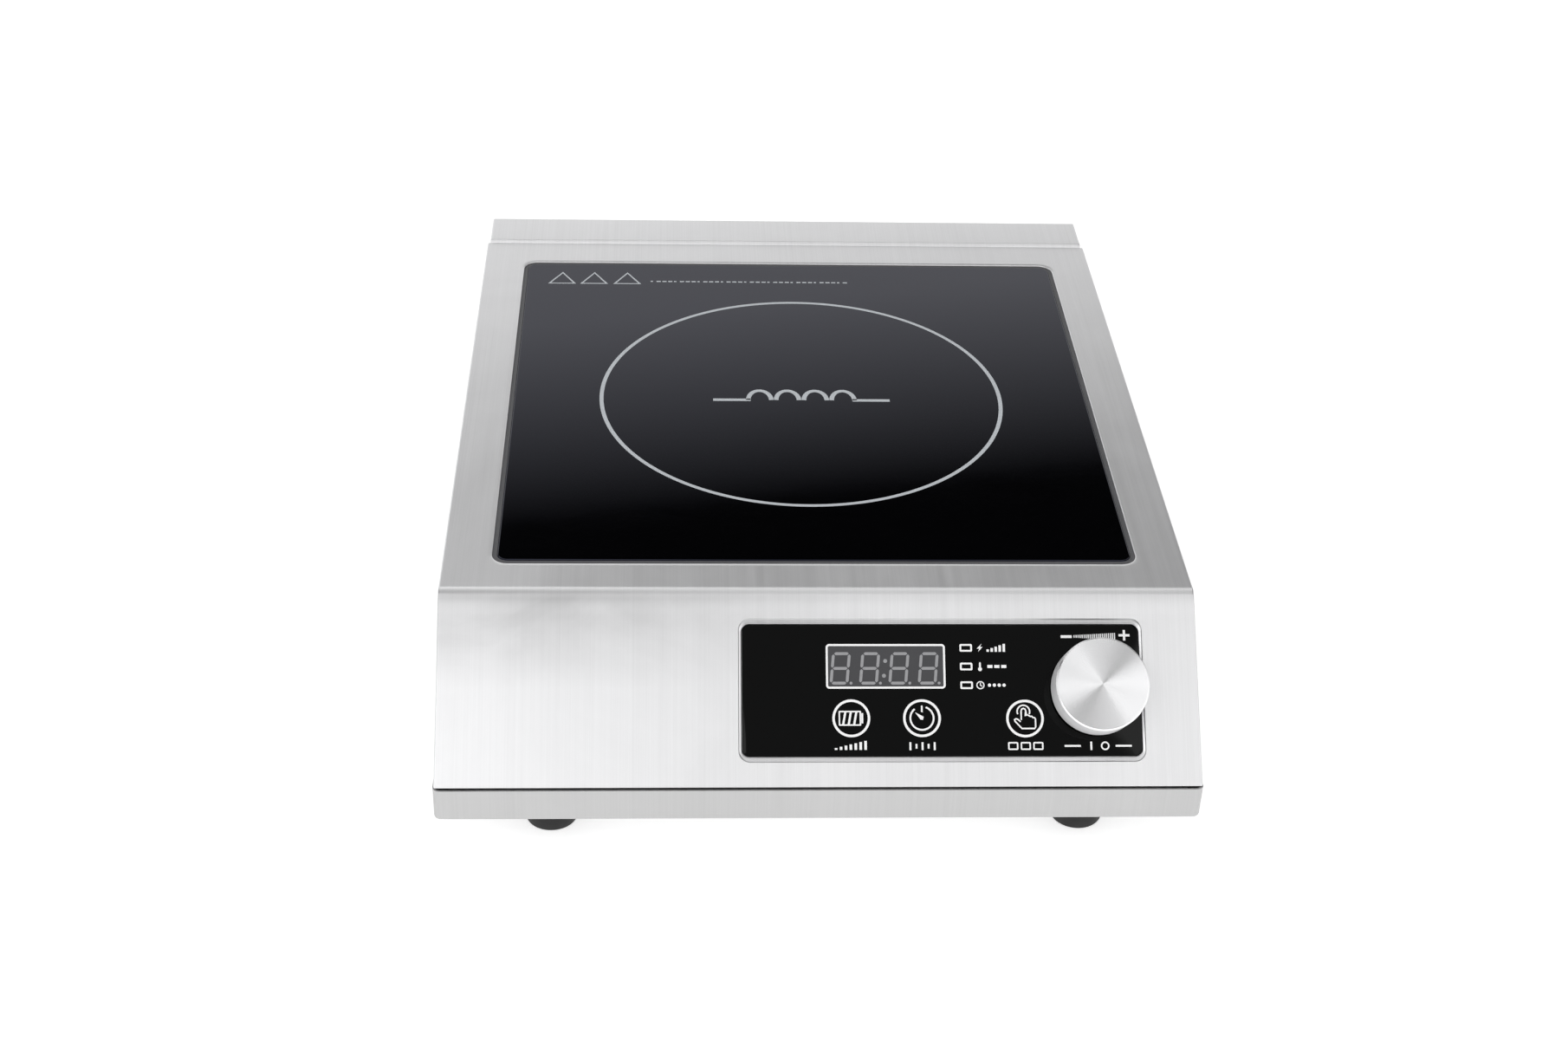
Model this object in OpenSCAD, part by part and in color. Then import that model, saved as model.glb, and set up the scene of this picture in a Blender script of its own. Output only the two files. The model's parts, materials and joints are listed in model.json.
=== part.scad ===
// Countertop induction hob with one cooking zone, a sloped control panel and a rear exhaust hood.
// Millimetres, +Z up. The hob stands on z = 0, its front faces -Y and the origin is below the
// middle of its outer box.

/* [Casing] */
// Width across the base tray
case_w = 328; // [322:1:336]
// Depth from the front of the tray to the back of the tray
case_d = 420; // [418:1:426]
// Height of the deck above the worktop
deck_z = 96; // [95:0.5:100]
// Height of the feet
foot_h = 20; // [18:1:22]
// Height of the tray's upturned rim
rim_h = 15.7; // [14:0.1:17]
// Thickness of the sheet steel
sheet = 1; // [0.8:0.1:1.2]
// Depth of the flat deck, from the bend to the cover's back edge
deck_d = 328.9; // [326:0.1:330]
// Tilt of the control panel below the horizontal
slope = 44.25; // [43:0.25:46]
// Outer radius of the bend between deck and control panel
bend_r = 6.5; // [4:0.5:8]
// Step from the tray's front face back to the cover's lower edge
cover_step = 1; // [0.5:0.1:1.5]
// Visible gap between the tray's rim and the cover
seam = 1; // [0.6:0.1:1.4]
// How far the hood's flange stands above the deck
hood_rise = 1.4; // [1:0.1:2]

/* [Cooking zone] */
// Width of the opening for the glass
opening_w = 284.2; // [280:0.1:288]
// Depth of the opening for the glass
opening_d = 286.3; // [282:0.1:290]
// Distance from the bend to the opening
opening_front = 20.3; // [18:0.1:22]
// Joint between the glass and the opening, filled with silicone
glass_gap = 2.2; // [1.8:0.1:3]
// Thickness of the glass
glass_t = 4; // [3.5:0.1:4.5]
// Distance from the bend to the middle of the cooking zone
zone_y = 164.3; // [160:0.1:168]
// Turns in the coil
coil_turns = 16; // [12:1:16]
// Radius of the coil's first turn
coil_r = 31; // [29:0.5:31]
// Diameter of the litz wire
litz_d = 3.8; // [3.4:0.1:3.8]

/* [Control panel] */
// Width of the fascia
fascia_w = 171.5; // [168:0.5:172]
// Height of the fascia along the slope
fascia_h = 57; // [56:0.5:57.5]
// Middle of the fascia, right of the hob's middle line
fascia_x = 52.3; // [50:0.1:54]
// Middle of the fascia, down the slope from the bend
fascia_s = 43.5; // [43:0.1:44]
// Depth of the stamped recess that holds the fascia
recess = 2.2; // [2:0.1:2.6]
// Middle of the knob, right of the hob's middle line
knob_x = 119; // [118:0.5:120]
// Diameter of the knob
knob_d = 39.2; // [36:0.2:40]
// Height of the knob's face above the panel
knob_top = 16; // [15:0.5:18]
// Travel of the knob when it is pressed
knob_travel = 1.5; // [0.5:0.1:1.5]

/* [Fans] */
// Width of each fan's square frame
fan_w = 80; // [78:1:80]
// Thickness of each fan
fan_h = 25; // [24:1:26]
// Distance of each fan's axis from the middle line
fan_x = 62; // [60:1:64]
// Blades on each rotor
fan_blades = 7; // [5:1:9]

/* [Inlet] */
// Radius of the gland's bore, for the mains lead
gland_bore_r = 4.7; // [4:0.1:5]
// How far the gland stands out of the hood
gland_out = 15; // [14:0.5:16]

/* [Hidden] */
$fn = 64;
eps = 0.01;
far = 600;

// Casing
floor_z = foot_h + sheet;
rim_z = foot_h + rim_h;
front_y = -(case_d - sheet + gland_out) / 2;
back_y = front_y + case_d;
tray_corner_r = 4;
cover_w = case_w - 1;
cover_low_z = rim_z + seam;
edge_r = 1.5;
panel_run = (deck_z - cover_low_z) / tan(slope);
bend_y = front_y + cover_step + panel_run;
cover_back_y = bend_y + deck_d;
tab_w = 24;
tab_reach = 13;
tab_drop_x = cover_w / 2 - sheet - 0.2;
tab_ys = [-140, 0, 140];
tab_screw_x = tab_drop_x - 7;

// Rear hood
hood_w = case_w - 3.7;
hood_gap = 0.8;
hood_front_y = cover_back_y + hood_gap;
hood_back_y = back_y - sheet;
hood_z = deck_z + hood_rise;
hood_lip = 7;
hood_screw_xs = [-140, -50, 50, 140];
corner_relief_x = case_w / 2 - tray_corner_r - 0.2;
louvre_w = 44;
louvre_pitch_x = 56;
louvre_pitch_z = 13;
louvre_z0 = 46;

// Feet
foot_r = 11.5;
foot_top_r = 13;
foot_x = 115.6;
foot_front_y = front_y + 27.3;
foot_rear_y = back_y - 27.3;
foot_recess = 8;
foot_places = [[-foot_x, foot_front_y], [foot_x, foot_front_y],
               [-foot_x, foot_rear_y], [foot_x, foot_rear_y]];
m5_r = 2.5;
m4_r = 1.9;
m3_r = 1.45;

// Glass and coil stack, from the glass down
opening_y = bend_y + opening_front + opening_d / 2;
opening_r = 7;
ledge_in = 12;
glass_w = opening_w - 2 * glass_gap;
glass_d = opening_d - 2 * glass_gap;
glass_r = opening_r - glass_gap;
glass_z = deck_z - glass_t;
seal_bed = 0.6;
ledge_z = glass_z - seal_bed;
coil_y = bend_y + zone_y;
mica_t = 0.8;
pad_t = 1.2;
mica_z = glass_z - mica_t;
pad_z = mica_z - pad_t;
litz_z = pad_z - litz_d;
litz_pitch = litz_d + 0.1;
coil_outer_r = coil_r + coil_turns * litz_pitch + litz_d / 2;
former_t = 2;
former_r = coil_outer_r + 3;
former_z = litz_z - former_t;
ferrite_t = 4.5;
ferrite_count = 8;
ferrite_z = former_z - ferrite_t;
plate_t = 1.5;
plate_z = ferrite_z - plate_t;
plate_w = 225;
plate_d = 190;
lead_x = 62;
lead_pitch = 14;
lead_notch_d = 45;
coil_hole_r = 12;
post_x = 103;
post_dy = 60;
post_r = 4;
post_h = 45;
post_places = [for (x = [-post_x, post_x], y = [-post_dy, post_dy]) [x, coil_y + y]];
sensor_r = 6;

// Control panel: s runs down the slope from the bend, n stands out of the panel
recess_wall = 1.7;
recess_side_wall = 1;
recess_r = 3.6;
floor_n = -recess;
floor_back_n = floor_n - sheet;
fascia_t = 1.5;
module_h = 8;
board_n = floor_n - module_h - 0.1;
board_t = 1.6;
board_w = fascia_w - 3;
board_h = fascia_h - 3;
display_x = 28.3;
display_s = 33.2;
display_w = 50.3;
display_h = 19;
led_x = 63.05;
led_s = [25.2, 33.3, 41.4];
key_places = [[13.2, 55.6], [43.5, 55.6], [87.8, 55.8]];
key_hole_r = 7.4;
standoff_places = [for (x = [-28, 72, 132], s = [20, 67]) [x, s]];
standoff_r = 2.8;

// Rotary encoder and knob
knob_s = fascia_s - 0.2;
knob_low = knob_travel - 0.2;
cap_wall = 1.6;
cap_face = 1.5;
shaft_r = 3;
running = 0.05;
bushing_r = 3.5;
bushing_n = 2.3;
encoder_w = 12.4;
encoder_top_n = floor_back_n - 0.7;
cavity_r = 4.6;
cavity_top_n = encoder_top_n - 1.3;
cavity_low_n = board_n + 1;
plunger_r = 4.2;
plunger_top_n = cavity_top_n - 0.2;
plunger_t = 1.8;
shaft_low_n = plunger_top_n - 1.15;
hub_n = bushing_n + knob_travel + 0.4;
hub_r = 6;
shaft_top_n = 12.5;
flat_at = 1.5;
nut_r = 5.77;
nut_t = 2;
fascia_hole_r = 6.5;

// Power board
pcb_w = 190;
pcb_d = 125;
pcb_y = -77.5;
pcb_t = 1.6;
pcb_lift = 7;
pcb_z = floor_z + pcb_lift;
pcb_top = pcb_z + pcb_t;
pcb_places = [for (x = [-89, 0, 89], y = [-56.5, 56.5]) [x, pcb_y + y]];
sink_x = -12;
sink_y = -72;
sink_w = 112;
sink_d = 50;
sink_z = pcb_top + 10.4;
sink_base = 5;
sink_h = 28;
sink_fins = 12;
package_t = 5;
package_z = sink_z - package_t;
transistor_xs = [-50, -30, -10];
bridge_x = 20;

// Fans
fan_y = cover_back_y - sheet - fan_w / 2 - 4;
fan_r = fan_w / 2 - 1.5;
fan_tip = 1.5;
fan_hub_r = 17;
fan_screw_in = 4.2;
spindle_r = 1.5;

// Inlet
gland_x = -125;
gland_z = 60;
gland_r = 8;
gland_hex_r = 12.4;
gland_hex_t = 5;
gland_in = 10;
grommet_r = 7;

// Shared shapes

module rounded_rect(w, d, r) {
    square([w - 2 * r, d], center = true);
    square([w, d - 2 * r], center = true);
    for (x = [-1, 1], y = [-1, 1])
        translate([x * (w / 2 - r), y * (d / 2 - r)]) circle(r = r);
}

module rounded_plate(w, d, h, r) {
    linear_extrude(h) rounded_rect(w, d, r);
}

// A flat shape drawn in (y, z) and pushed along X
module along_x(x0, x1) {
    translate([x0, 0, 0]) rotate([90, 0, 90]) linear_extrude(x1 - x0) children();
}

// A flat shape drawn in (x, z) and pushed along Y
module along_y(y0, y1) {
    translate([0, y1, 0]) rotate([90, 0, 0]) linear_extrude(y1 - y0) children();
}

// The panel's own frame: x to the right, s down the slope, n out of the panel
module on_panel(x = 0, s = 0, n = 0) {
    translate([0, bend_y, deck_z]) rotate([slope, 0, 0]) translate([x, -s, n]) children();
}

// A cylinder whose axis runs along Y
module y_cylinder(r, y0, y1) {
    translate([0, y1, 0]) rotate([90, 0, 0]) cylinder(r = r, h = y1 - y0);
}

module ring(r_out, r_in, h) {
    difference() {
        cylinder(r = r_out, h = h);
        translate([0, 0, -eps]) cylinder(r = r_in, h = h + 2 * eps);
    }
}

module hex_standoff(r, h, bore) {
    difference() {
        cylinder(r = r, h = h, $fn = 6);
        translate([0, 0, h - 6]) cylinder(r = bore, h = 6 + eps);
    }
}

// A pan-head screw: its head's underside is at z = 0 and its shank points down
module pan_screw(shank_r, shank_l, head_r, head_h) {
    rotate_extrude()
        polygon([[0, -shank_l], [shank_r - 0.3, -shank_l], [shank_r, -shank_l + 0.3], [shank_r, 0],
                 [head_r, 0], [head_r, head_h * 0.45], [head_r * 0.62, head_h], [0, head_h]]);
}

function unit(v) = v / norm(v);
function lerp(a, b, t) = a + (b - a) * t;
function bezier(a, b, c, d, t) =
    lerp(lerp(lerp(a, b, t), lerp(b, c, t), t), lerp(lerp(b, c, t), lerp(c, d, t), t), t);
function tangent(path, i) =
    unit(path[min(i + 1, len(path) - 1)] - path[max(i - 1, 0)]);

// A round wire along a path whose tangents are never parallel to ref
module wire(path, r, sides, ref) {
    count = len(path);
    points = [
        for (i = [0 : count - 1])
            let (t = tangent(path, i), u = unit(cross(ref, t)), v = cross(t, u))
            for (k = [0 : sides - 1])
                path[i] + r * (cos(360 * k / sides) * u + sin(360 * k / sides) * v)
    ];
    skin = [
        for (i = [0 : count - 2], k = [0 : sides - 1])
            let (a = i * sides + k, b = i * sides + (k + 1) % sides)
            [b, a, a + sides, b + sides]
    ];
    start = [for (k = [0 : sides - 1]) k];
    stop = [for (k = [sides - 1 : -1 : 0]) (count - 1) * sides + k];
    polyhedron(points = points, faces = concat([start, stop], skin));
}

module helix(r_low, r_high, h, turns, wire_r, steps = 12) {
    count = turns * steps;
    path = [
        for (i = [0 : count])
            let (a = 360 * i / steps, r = lerp(r_low, r_high, i / count))
            [r * cos(a), r * sin(a), wire_r + (h - 2 * wire_r) * i / count]
    ];
    wire(path, wire_r, 6, [0, 0, 1]);
}

// Casing

// Side view of the cover, set in by t on every outer face
module cover_side(t, low) {
    r = bend_r - t;
    back_r = edge_r - t;
    top = deck_z - t;
    back = cover_back_y - t;
    corner = bend_y + t * tan(slope / 2);
    run = (top - low) / tan(slope);
    trim = r * tan(slope / 2);
    polygon([[corner - run, low], [corner - trim * cos(slope), top - trim * sin(slope)],
             [corner + trim, top], [back - back_r, top], [back, top - back_r], [back, low]]);
    translate([corner + trim, top - r]) circle(r = r);
    translate([back - back_r, top - back_r]) circle(r = back_r);
}

// A closed front view with rounded upper corners
module arch(w, top, low, r) {
    translate([-w / 2, low]) square([w, top - r - low]);
    translate([-w / 2 + r, top - r - 1]) square([w - 2 * r, r + 1]);
    for (x = [-1, 1]) translate([x * (w / 2 - r), top - r]) circle(r = r);
}

module cover_form(t, low) {
    w = cover_w - 2 * t;
    intersection() {
        along_x(-w / 2, w / 2) cover_side(t, low);
        along_y(-far, far) arch(w, deck_z - t, low - 1, edge_r - t);
        on_panel(0, 0, 0) along_y(-far, far) arch(w, -t, -far, edge_r - t);
    }
}

// The fascia's recess: bevelled walls between the floor at n = low and the panel at n = 0
module recess_form(grow, low, high) {
    play = 0.2;
    half_w = fascia_w / 2 + play + grow;
    half_h = fascia_h / 2 + play + grow;
    rise = high / low;
    side = recess_side_wall * (1 - rise);
    wall = recess_wall * (1 - rise);
    on_panel(fascia_x, fascia_s, 0) intersection() {
        along_y(-far, far)
            polygon([[-half_w, low], [half_w, low], [half_w + side, high], [-half_w - side, high]]);
        along_x(-far, far)
            polygon([[-half_h, low], [half_h, low], [half_h + wall, high], [-half_h - wall, high]]);
        translate([0, 0, low]) rounded_plate(2 * half_w + 4, 2 * half_h + 4, high - low, recess_r + grow);
    }
}

// Three tabs spot-welded inside the side wall, which stand on the tray's floor
module side_tab() {
    weld_h = 7;
    for (y = tab_ys) {
        translate([tab_drop_x - sheet, y - tab_w / 2, floor_z])
            cube([sheet, tab_w, cover_low_z + 1 + weld_h - floor_z]);
        translate([tab_drop_x - sheet / 2, y - tab_w / 2, cover_low_z + 1]) cube([sheet, tab_w, weld_h]);
        difference() {
            translate([tab_drop_x - tab_reach, y - tab_w / 2, floor_z]) cube([tab_reach, tab_w, sheet]);
            translate([tab_screw_x, y, floor_z - eps]) cylinder(r = m4_r, h = sheet + 2 * eps);
        }
    }
}

module base_tray() {
    grille_pitch = 8;
    color("silver") difference() {
        translate([0, (front_y + back_y) / 2, foot_h])
            rounded_plate(case_w, case_d, rim_h, tray_corner_r);
        translate([0, (front_y + back_y) / 2, floor_z])
            rounded_plate(case_w - 2 * sheet, case_d - 2 * sheet, rim_h, tray_corner_r - sheet);
        for (p = foot_places)
            translate([p.x, p.y, foot_h - eps]) cylinder(r = m5_r + 0.2, h = sheet + 2 * eps);
        for (x = [-tab_screw_x, tab_screw_x], y = tab_ys)
            translate([x, y, foot_h - eps]) cylinder(r = m4_r + 0.2, h = sheet + 2 * eps);
        for (x = hood_screw_xs)
            translate([x, hood_back_y - 7, foot_h - eps])
                cylinder(r = m4_r + 0.2, h = sheet + 2 * eps);
        for (side = [-1, 1]) {
            for (x = [-1, 1], y = [-1, 1])
                translate([side * fan_x + x * (fan_w / 2 - fan_screw_in),
                           fan_y + y * (fan_w / 2 - fan_screw_in), foot_h - eps])
                    cylinder(r = m4_r + 0.2, h = sheet + 2 * eps);
            for (i = [-4 : 4]) {
                half = sqrt(pow(fan_r - 1, 2) - pow(i * grille_pitch, 2)) - 2;
                translate([side * fan_x, fan_y + i * grille_pitch, foot_h - eps])
                    rounded_plate(2 * half, 4.4, sheet + 2 * eps, 2.19);
            }
        }
    }
}

module top_cover() {
    vent_count = 9;
    color("gainsboro") difference() {
        union() {
            difference() {
                cover_form(0, cover_low_z);
                cover_form(sheet, cover_low_z - 5);
            }
            // lip and ledge around the glass
            translate([0, opening_y, ledge_z - sheet])
                rounded_plate(opening_w + 2 * sheet, opening_d + 2 * sheet,
                              deck_z - sheet / 2 - ledge_z + sheet, opening_r + sheet);
            recess_form(sheet, floor_back_n, -sheet / 2);
            side_tab();
            mirror([1, 0, 0]) side_tab();
            // flange behind the tray's front rim
            translate([-cover_w / 2 + 8, front_y + 2 * cover_step, floor_z])
                cube([cover_w - 16, sheet, cover_low_z + 1 - floor_z]);
            // back wall down to the tray
            translate([-cover_w / 2 + 8, cover_back_y - sheet, floor_z + 1])
                cube([cover_w - 16, sheet, rim_h + 2]);
        }
        translate([0, opening_y, ledge_z])
            rounded_plate(opening_w, opening_d, glass_t + 3, opening_r);
        translate([0, opening_y, ledge_z - 2 * sheet])
            rounded_plate(opening_w - 2 * ledge_in, opening_d - 2 * ledge_in, 4 * sheet, 5);
        recess_form(0, floor_n, 1);
        // openings in the recess's floor
        on_panel(display_x, display_s, floor_back_n - 1)
            rounded_plate(display_w + 0.8, display_h + 0.8, 3, 0.5);
        for (s = led_s)
            on_panel(led_x, s, floor_back_n - 1) rounded_plate(6, 3.6, 3, 0.5);
        for (p = key_places)
            on_panel(p.x, p.y, floor_back_n - 1) cylinder(r = key_hole_r, h = 3);
        on_panel(knob_x, knob_s, floor_back_n - 1) cylinder(r = bushing_r + running, h = 3);
        // warm air leaves through the back wall into the hood
        for (i = [0 : vent_count - 1], z = [46 : 10 : 76])
            translate([(i - (vent_count - 1) / 2) * 24 + 22, 0, z])
                along_y(cover_back_y - 2, cover_back_y + 2) rounded_rect(18, 5, 2.4);
        translate([gland_x, 0, gland_z])
            y_cylinder(grommet_r, cover_back_y - 2, cover_back_y + 2);
        // room for the rear feet's screws and nuts
        for (x = [-foot_x, foot_x])
            translate([x - 7, cover_back_y - 2 * sheet, floor_z]) cube([14, 3 * sheet, 8]);
    }
}

module louvre() {
    cap_l = 7;
    translate([-louvre_w / 2 - 1, hood_back_y - 0.4, 3])
        rotate([-55, 0, 0]) cube([louvre_w + 2, cap_l, 0.8]);
}

module rear_hood() {
    r = 2;
    color("lightgray") difference() {
        union() {
            // flange and back wall in one bent sheet
            along_x(-hood_w / 2, hood_w / 2) difference() {
                union() {
                    polygon([[hood_front_y, hood_z], [hood_front_y, floor_z + 1],
                             [hood_back_y, floor_z], [hood_back_y, hood_z - r], [hood_back_y - r, hood_z]]);
                    translate([hood_back_y - r, hood_z - r]) circle(r = r);
                }
                polygon([[hood_front_y + sheet, hood_z - sheet], [hood_front_y + sheet, 0],
                         [hood_back_y - sheet, 0], [hood_back_y - sheet, hood_z - r],
                         [hood_back_y - r, hood_z - sheet]]);
                translate([hood_front_y - 1, 0]) square([3, hood_z - hood_lip]);
            }
            // end cheeks
            for (x = [-hood_w / 2, hood_w / 2 - sheet])
                translate([x, hood_front_y, floor_z]) cube([sheet, hood_back_y - hood_front_y - 2, hood_z - floor_z - 1]);
            // foot flange
            translate([-hood_w / 2 + 1, hood_back_y - 14, floor_z]) cube([hood_w - 2, 14, sheet]);
            for (i = [-1 : 2], k = [0 : 2])
                translate([i * louvre_pitch_x, 0, louvre_z0 + k * louvre_pitch_z]) louvre();
        }
        for (i = [-1 : 2], k = [0 : 2])
            translate([i * louvre_pitch_x, 0, louvre_z0 + k * louvre_pitch_z])
                along_y(hood_back_y - 2 * sheet, hood_back_y + eps) rounded_rect(louvre_w, 4.6, 2);
        translate([gland_x, 0, gland_z]) y_cylinder(gland_r + 0.2, hood_back_y - 3, hood_back_y + 3);
        for (x = hood_screw_xs)
            translate([x, hood_back_y - 7, floor_z - eps]) cylinder(r = m4_r, h = sheet + 2 * eps);
        // relief for the tray's rounded inner corners
        for (x = [-corner_relief_x - 5, corner_relief_x])
            translate([x, hood_back_y - 1.5 * sheet, floor_z - 1]) cube([5, 3, rim_z - floor_z + 1.5]);
    }
}

module glass_plate() {
    color([0.05, 0.05, 0.06]) translate([0, opening_y, glass_z])
        rounded_plate(glass_w, glass_d, glass_t, glass_r);
}

module glass_seal() {
    below_top = 0.3;
    fit = 0.02;
    color([0.22, 0.22, 0.23]) translate([0, opening_y, ledge_z]) difference() {
        rounded_plate(opening_w - fit, opening_d - fit, glass_t + seal_bed - below_top, opening_r - fit / 2);
        translate([0, 0, seal_bed]) rounded_plate(glass_w, glass_d, glass_t + 1, glass_r);
        translate([0, 0, -1]) rounded_plate(opening_w - 2 * ledge_in + 2, opening_d - 2 * ledge_in + 2, 3, 5);
    }
}

module foot(p) {
    groove_z = foot_h - 3;
    color([0.08, 0.08, 0.08]) translate([p.x, p.y, 0]) rotate_extrude()
        polygon([[m5_r + 0.1, foot_recess], [5.5, foot_recess], [5.5, 0], [foot_r - 1, 0], [foot_r, 1],
                 [foot_top_r - 0.4, groove_z], [foot_top_r, groove_z + 0.5], [foot_top_r, foot_h],
                 [m5_r + 0.1, foot_h]]);
}

module foot_front_left() { foot(foot_places[0]); }
module foot_front_right() { foot(foot_places[1]); }
module foot_rear_left() { foot(foot_places[2]); }
module foot_rear_right() { foot(foot_places[3]); }

module foot_screws() {
    color("darkgray") for (p = foot_places)
        translate([p.x, p.y, foot_recess]) mirror([0, 0, 1]) pan_screw(m5_r, 18, 4.6, 3.4);
}

module foot_nuts() {
    color("silver") for (p = foot_places)
        translate([p.x, p.y, floor_z]) difference() {
            cylinder(r = 4.62, h = 4, $fn = 6);
            translate([0, 0, -eps]) cylinder(r = m5_r + 0.02, h = 5);
        }
}

module casing_screws() {
    color("silver") {
        for (x = [-tab_screw_x, tab_screw_x], y = tab_ys)
            translate([x, y, foot_h]) mirror([0, 0, 1]) pan_screw(m4_r - 0.02, 6, 3.8, 2.4);
        for (x = hood_screw_xs)
            translate([x, hood_back_y - 7, foot_h])
                mirror([0, 0, 1]) pan_screw(m4_r - 0.02, 6, 3.8, 2.4);
    }
}

// Inlet

module cable_gland() {
    color([0.12, 0.12, 0.12]) translate([gland_x, 0, gland_z]) difference() {
        union() {
            y_cylinder(gland_r, hood_back_y - gland_in, hood_back_y + eps);
            y_cylinder(gland_hex_r, hood_back_y, hood_back_y + gland_hex_t, $fn = 6);
        }
        y_cylinder(gland_bore_r, hood_back_y - gland_in - 1, hood_back_y + gland_hex_t + 1);
    }
}

module gland_dome() {
    length = gland_out - gland_hex_t;
    color([0.12, 0.12, 0.12]) translate([gland_x, hood_back_y + gland_hex_t, gland_z])
        rotate([-90, 0, 0]) rotate_extrude()
            polygon([[gland_bore_r, 0], [11, 0], [11, length * 0.4], [10.4, length * 0.7],
                     [8.6, length * 0.92], [6.6, length], [gland_bore_r, length]]);
}

module gland_nut() {
    color([0.12, 0.12, 0.12]) translate([gland_x, 0, gland_z]) difference() {
        y_cylinder(gland_hex_r, hood_back_y - sheet - 4, hood_back_y - sheet, $fn = 6);
        y_cylinder(gland_r + 0.03, hood_back_y - sheet - 5, hood_back_y - sheet + 1);
    }
}

module wire_grommet() {
    lip = 2.2;
    middle = cover_back_y - sheet / 2;
    color([0.1, 0.1, 0.1]) translate([gland_x, middle, gland_z]) rotate([-90, 0, 0])
        rotate_extrude()
            polygon([[5, -lip], [9, -lip], [9, -sheet / 2], [grommet_r, -sheet / 2],
                     [grommet_r, sheet / 2], [9, sheet / 2], [9, lip - 1.5], [5, lip - 1.5]]);
}

module terminal_block() {
    pitch = 11;
    size = [16, 3 * pitch, 17];
    color("ivory") translate([-142, 111, floor_z]) difference() {
        translate([-size.x / 2, -size.y / 2, 0]) cube(size);
        for (i = [-1 : 1]) {
            translate([-size.x / 2 - 1, i * pitch, 6]) rotate([0, 90, 0]) cylinder(r = 3, h = size.x + 2);
            for (x = [-4, 4]) translate([x, i * pitch, 10]) cylinder(r = 2.2, h = 8);
        }
    }
}

module earth_stud() {
    color("goldenrod") translate([-142, 80, floor_z]) {
        cylinder(r = m5_r, h = 14);
        for (z = [0, 6]) translate([0, 0, z]) cylinder(r = 4.62, h = 4, $fn = 6);
    }
}

// Control panel

module control_fascia() {
    color([0.04, 0.04, 0.05]) on_panel(fascia_x, fascia_s, floor_n) difference() {
        rounded_plate(fascia_w, fascia_h, fascia_t, recess_r - 0.4);
        translate([knob_x - fascia_x, fascia_s - knob_s, -1]) cylinder(r = fascia_hole_r, h = fascia_t + 2);
    }
}

module display_module() {
    digits = 4;
    pitch = 12.7;
    color([0.25, 0.25, 0.26]) on_panel(display_x, display_s, board_n) difference() {
        translate([-display_w / 2, -display_h / 2, 0]) cube([display_w, display_h, module_h]);
        for (i = [0 : digits - 1])
            translate([(i - (digits - 1) / 2) * pitch - 4.5, -7.4, module_h - 0.1])
                cube([9, 14.8, 1]);
    }
}

module indicator_leds() {
    color("white") for (s = led_s)
        on_panel(led_x, s, board_n) translate([-2.5, -1.2, 0]) cube([5, 2.4, module_h]);
}

module touch_springs() {
    color("silver") for (p = key_places)
        on_panel(p.x, p.y, board_n) helix(3.4, 5.4, floor_n - board_n, 5, 0.35);
}

module control_board() {
    color("darkgreen") on_panel(fascia_x, fascia_s, board_n - board_t) difference() {
        rounded_plate(board_w, board_h, board_t, 2);
        for (p = standoff_places)
            translate([p.x - fascia_x, fascia_s - p.y, -1]) cylinder(r = 1.6, h = board_t + 2);
    }
}

module control_chips() {
    low = board_n - board_t;
    color([0.15, 0.15, 0.16]) {
        on_panel(10, 33, low - 2.4) translate([-9, -5, 0]) cube([18, 10, 2.4]);
        on_panel(45, 33, low - 2) translate([-5, -3, 0]) cube([10, 6, 2]);
        on_panel(92, 30, low - 2) translate([-7, -4, 0]) cube([14, 8, 2]);
        on_panel(104, 60, low - 9) cylinder(r = 4, h = 9);
        on_panel(60, 60, low - 7) translate([-12, -3.5, 0]) cube([24, 7, 7]);
    }
}

module panel_standoffs() {
    length = floor_back_n - board_n;
    color("silver") for (p = standoff_places)
        on_panel(p.x, p.y, board_n) difference() {
            cylinder(r = standoff_r, h = length, $fn = 6);
            translate([0, 0, -eps]) cylinder(r = m3_r + 0.05, h = length - 1.5);
        }
}

module board_screws() {
    color("darkgray") for (p = standoff_places)
        on_panel(p.x, p.y, board_n - board_t) mirror([0, 0, 1]) pan_screw(m3_r, 6, 2.8, 2);
}

// Flat cable from the control board's header to the power board's header
module control_ribbon() {
    half = 0.45;
    w = 20;
    steps = 14;
    header = [bend_y - 62 * cos(slope) + 19 * sin(slope), deck_z - 62 * sin(slope) - 19 * cos(slope)];
    plug = [pcb_y - 54, pcb_top + 7.5];
    path = [for (i = [0 : steps])
        bezier(header, header + [5, -12], plug + [-26, 12], plug, i / steps)];
    normals = [for (i = [0 : steps]) let (t = tangent(path, i)) [-t.y, t.x] * half];
    color("gray") along_x(60 - w / 2, 60 + w / 2)
        polygon(concat([for (i = [0 : steps]) path[i] + normals[i]],
                       [for (i = [steps : -1 : 0]) path[i] - normals[i]]));
}

module encoder_body() {
    color("silver") on_panel(knob_x, knob_s, 0) difference() {
        union() {
            translate([-encoder_w / 2, -encoder_w / 2, board_n])
                cube([encoder_w, encoder_w, encoder_top_n - board_n]);
            translate([0, 0, encoder_top_n - eps])
                cylinder(r = bushing_r, h = bushing_n - encoder_top_n + eps);
        }
        translate([0, 0, cavity_low_n]) cylinder(r = cavity_r, h = cavity_top_n - cavity_low_n);
        translate([0, 0, cavity_top_n - eps]) cylinder(r = shaft_r + running, h = 20);
    }
}

module encoder_nut() {
    color("silver") on_panel(knob_x, knob_s, floor_n) difference() {
        cylinder(r = nut_r, h = nut_t, $fn = 6);
        translate([0, 0, -eps]) cylinder(r = bushing_r + 0.02, h = nut_t + 1);
    }
}

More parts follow.
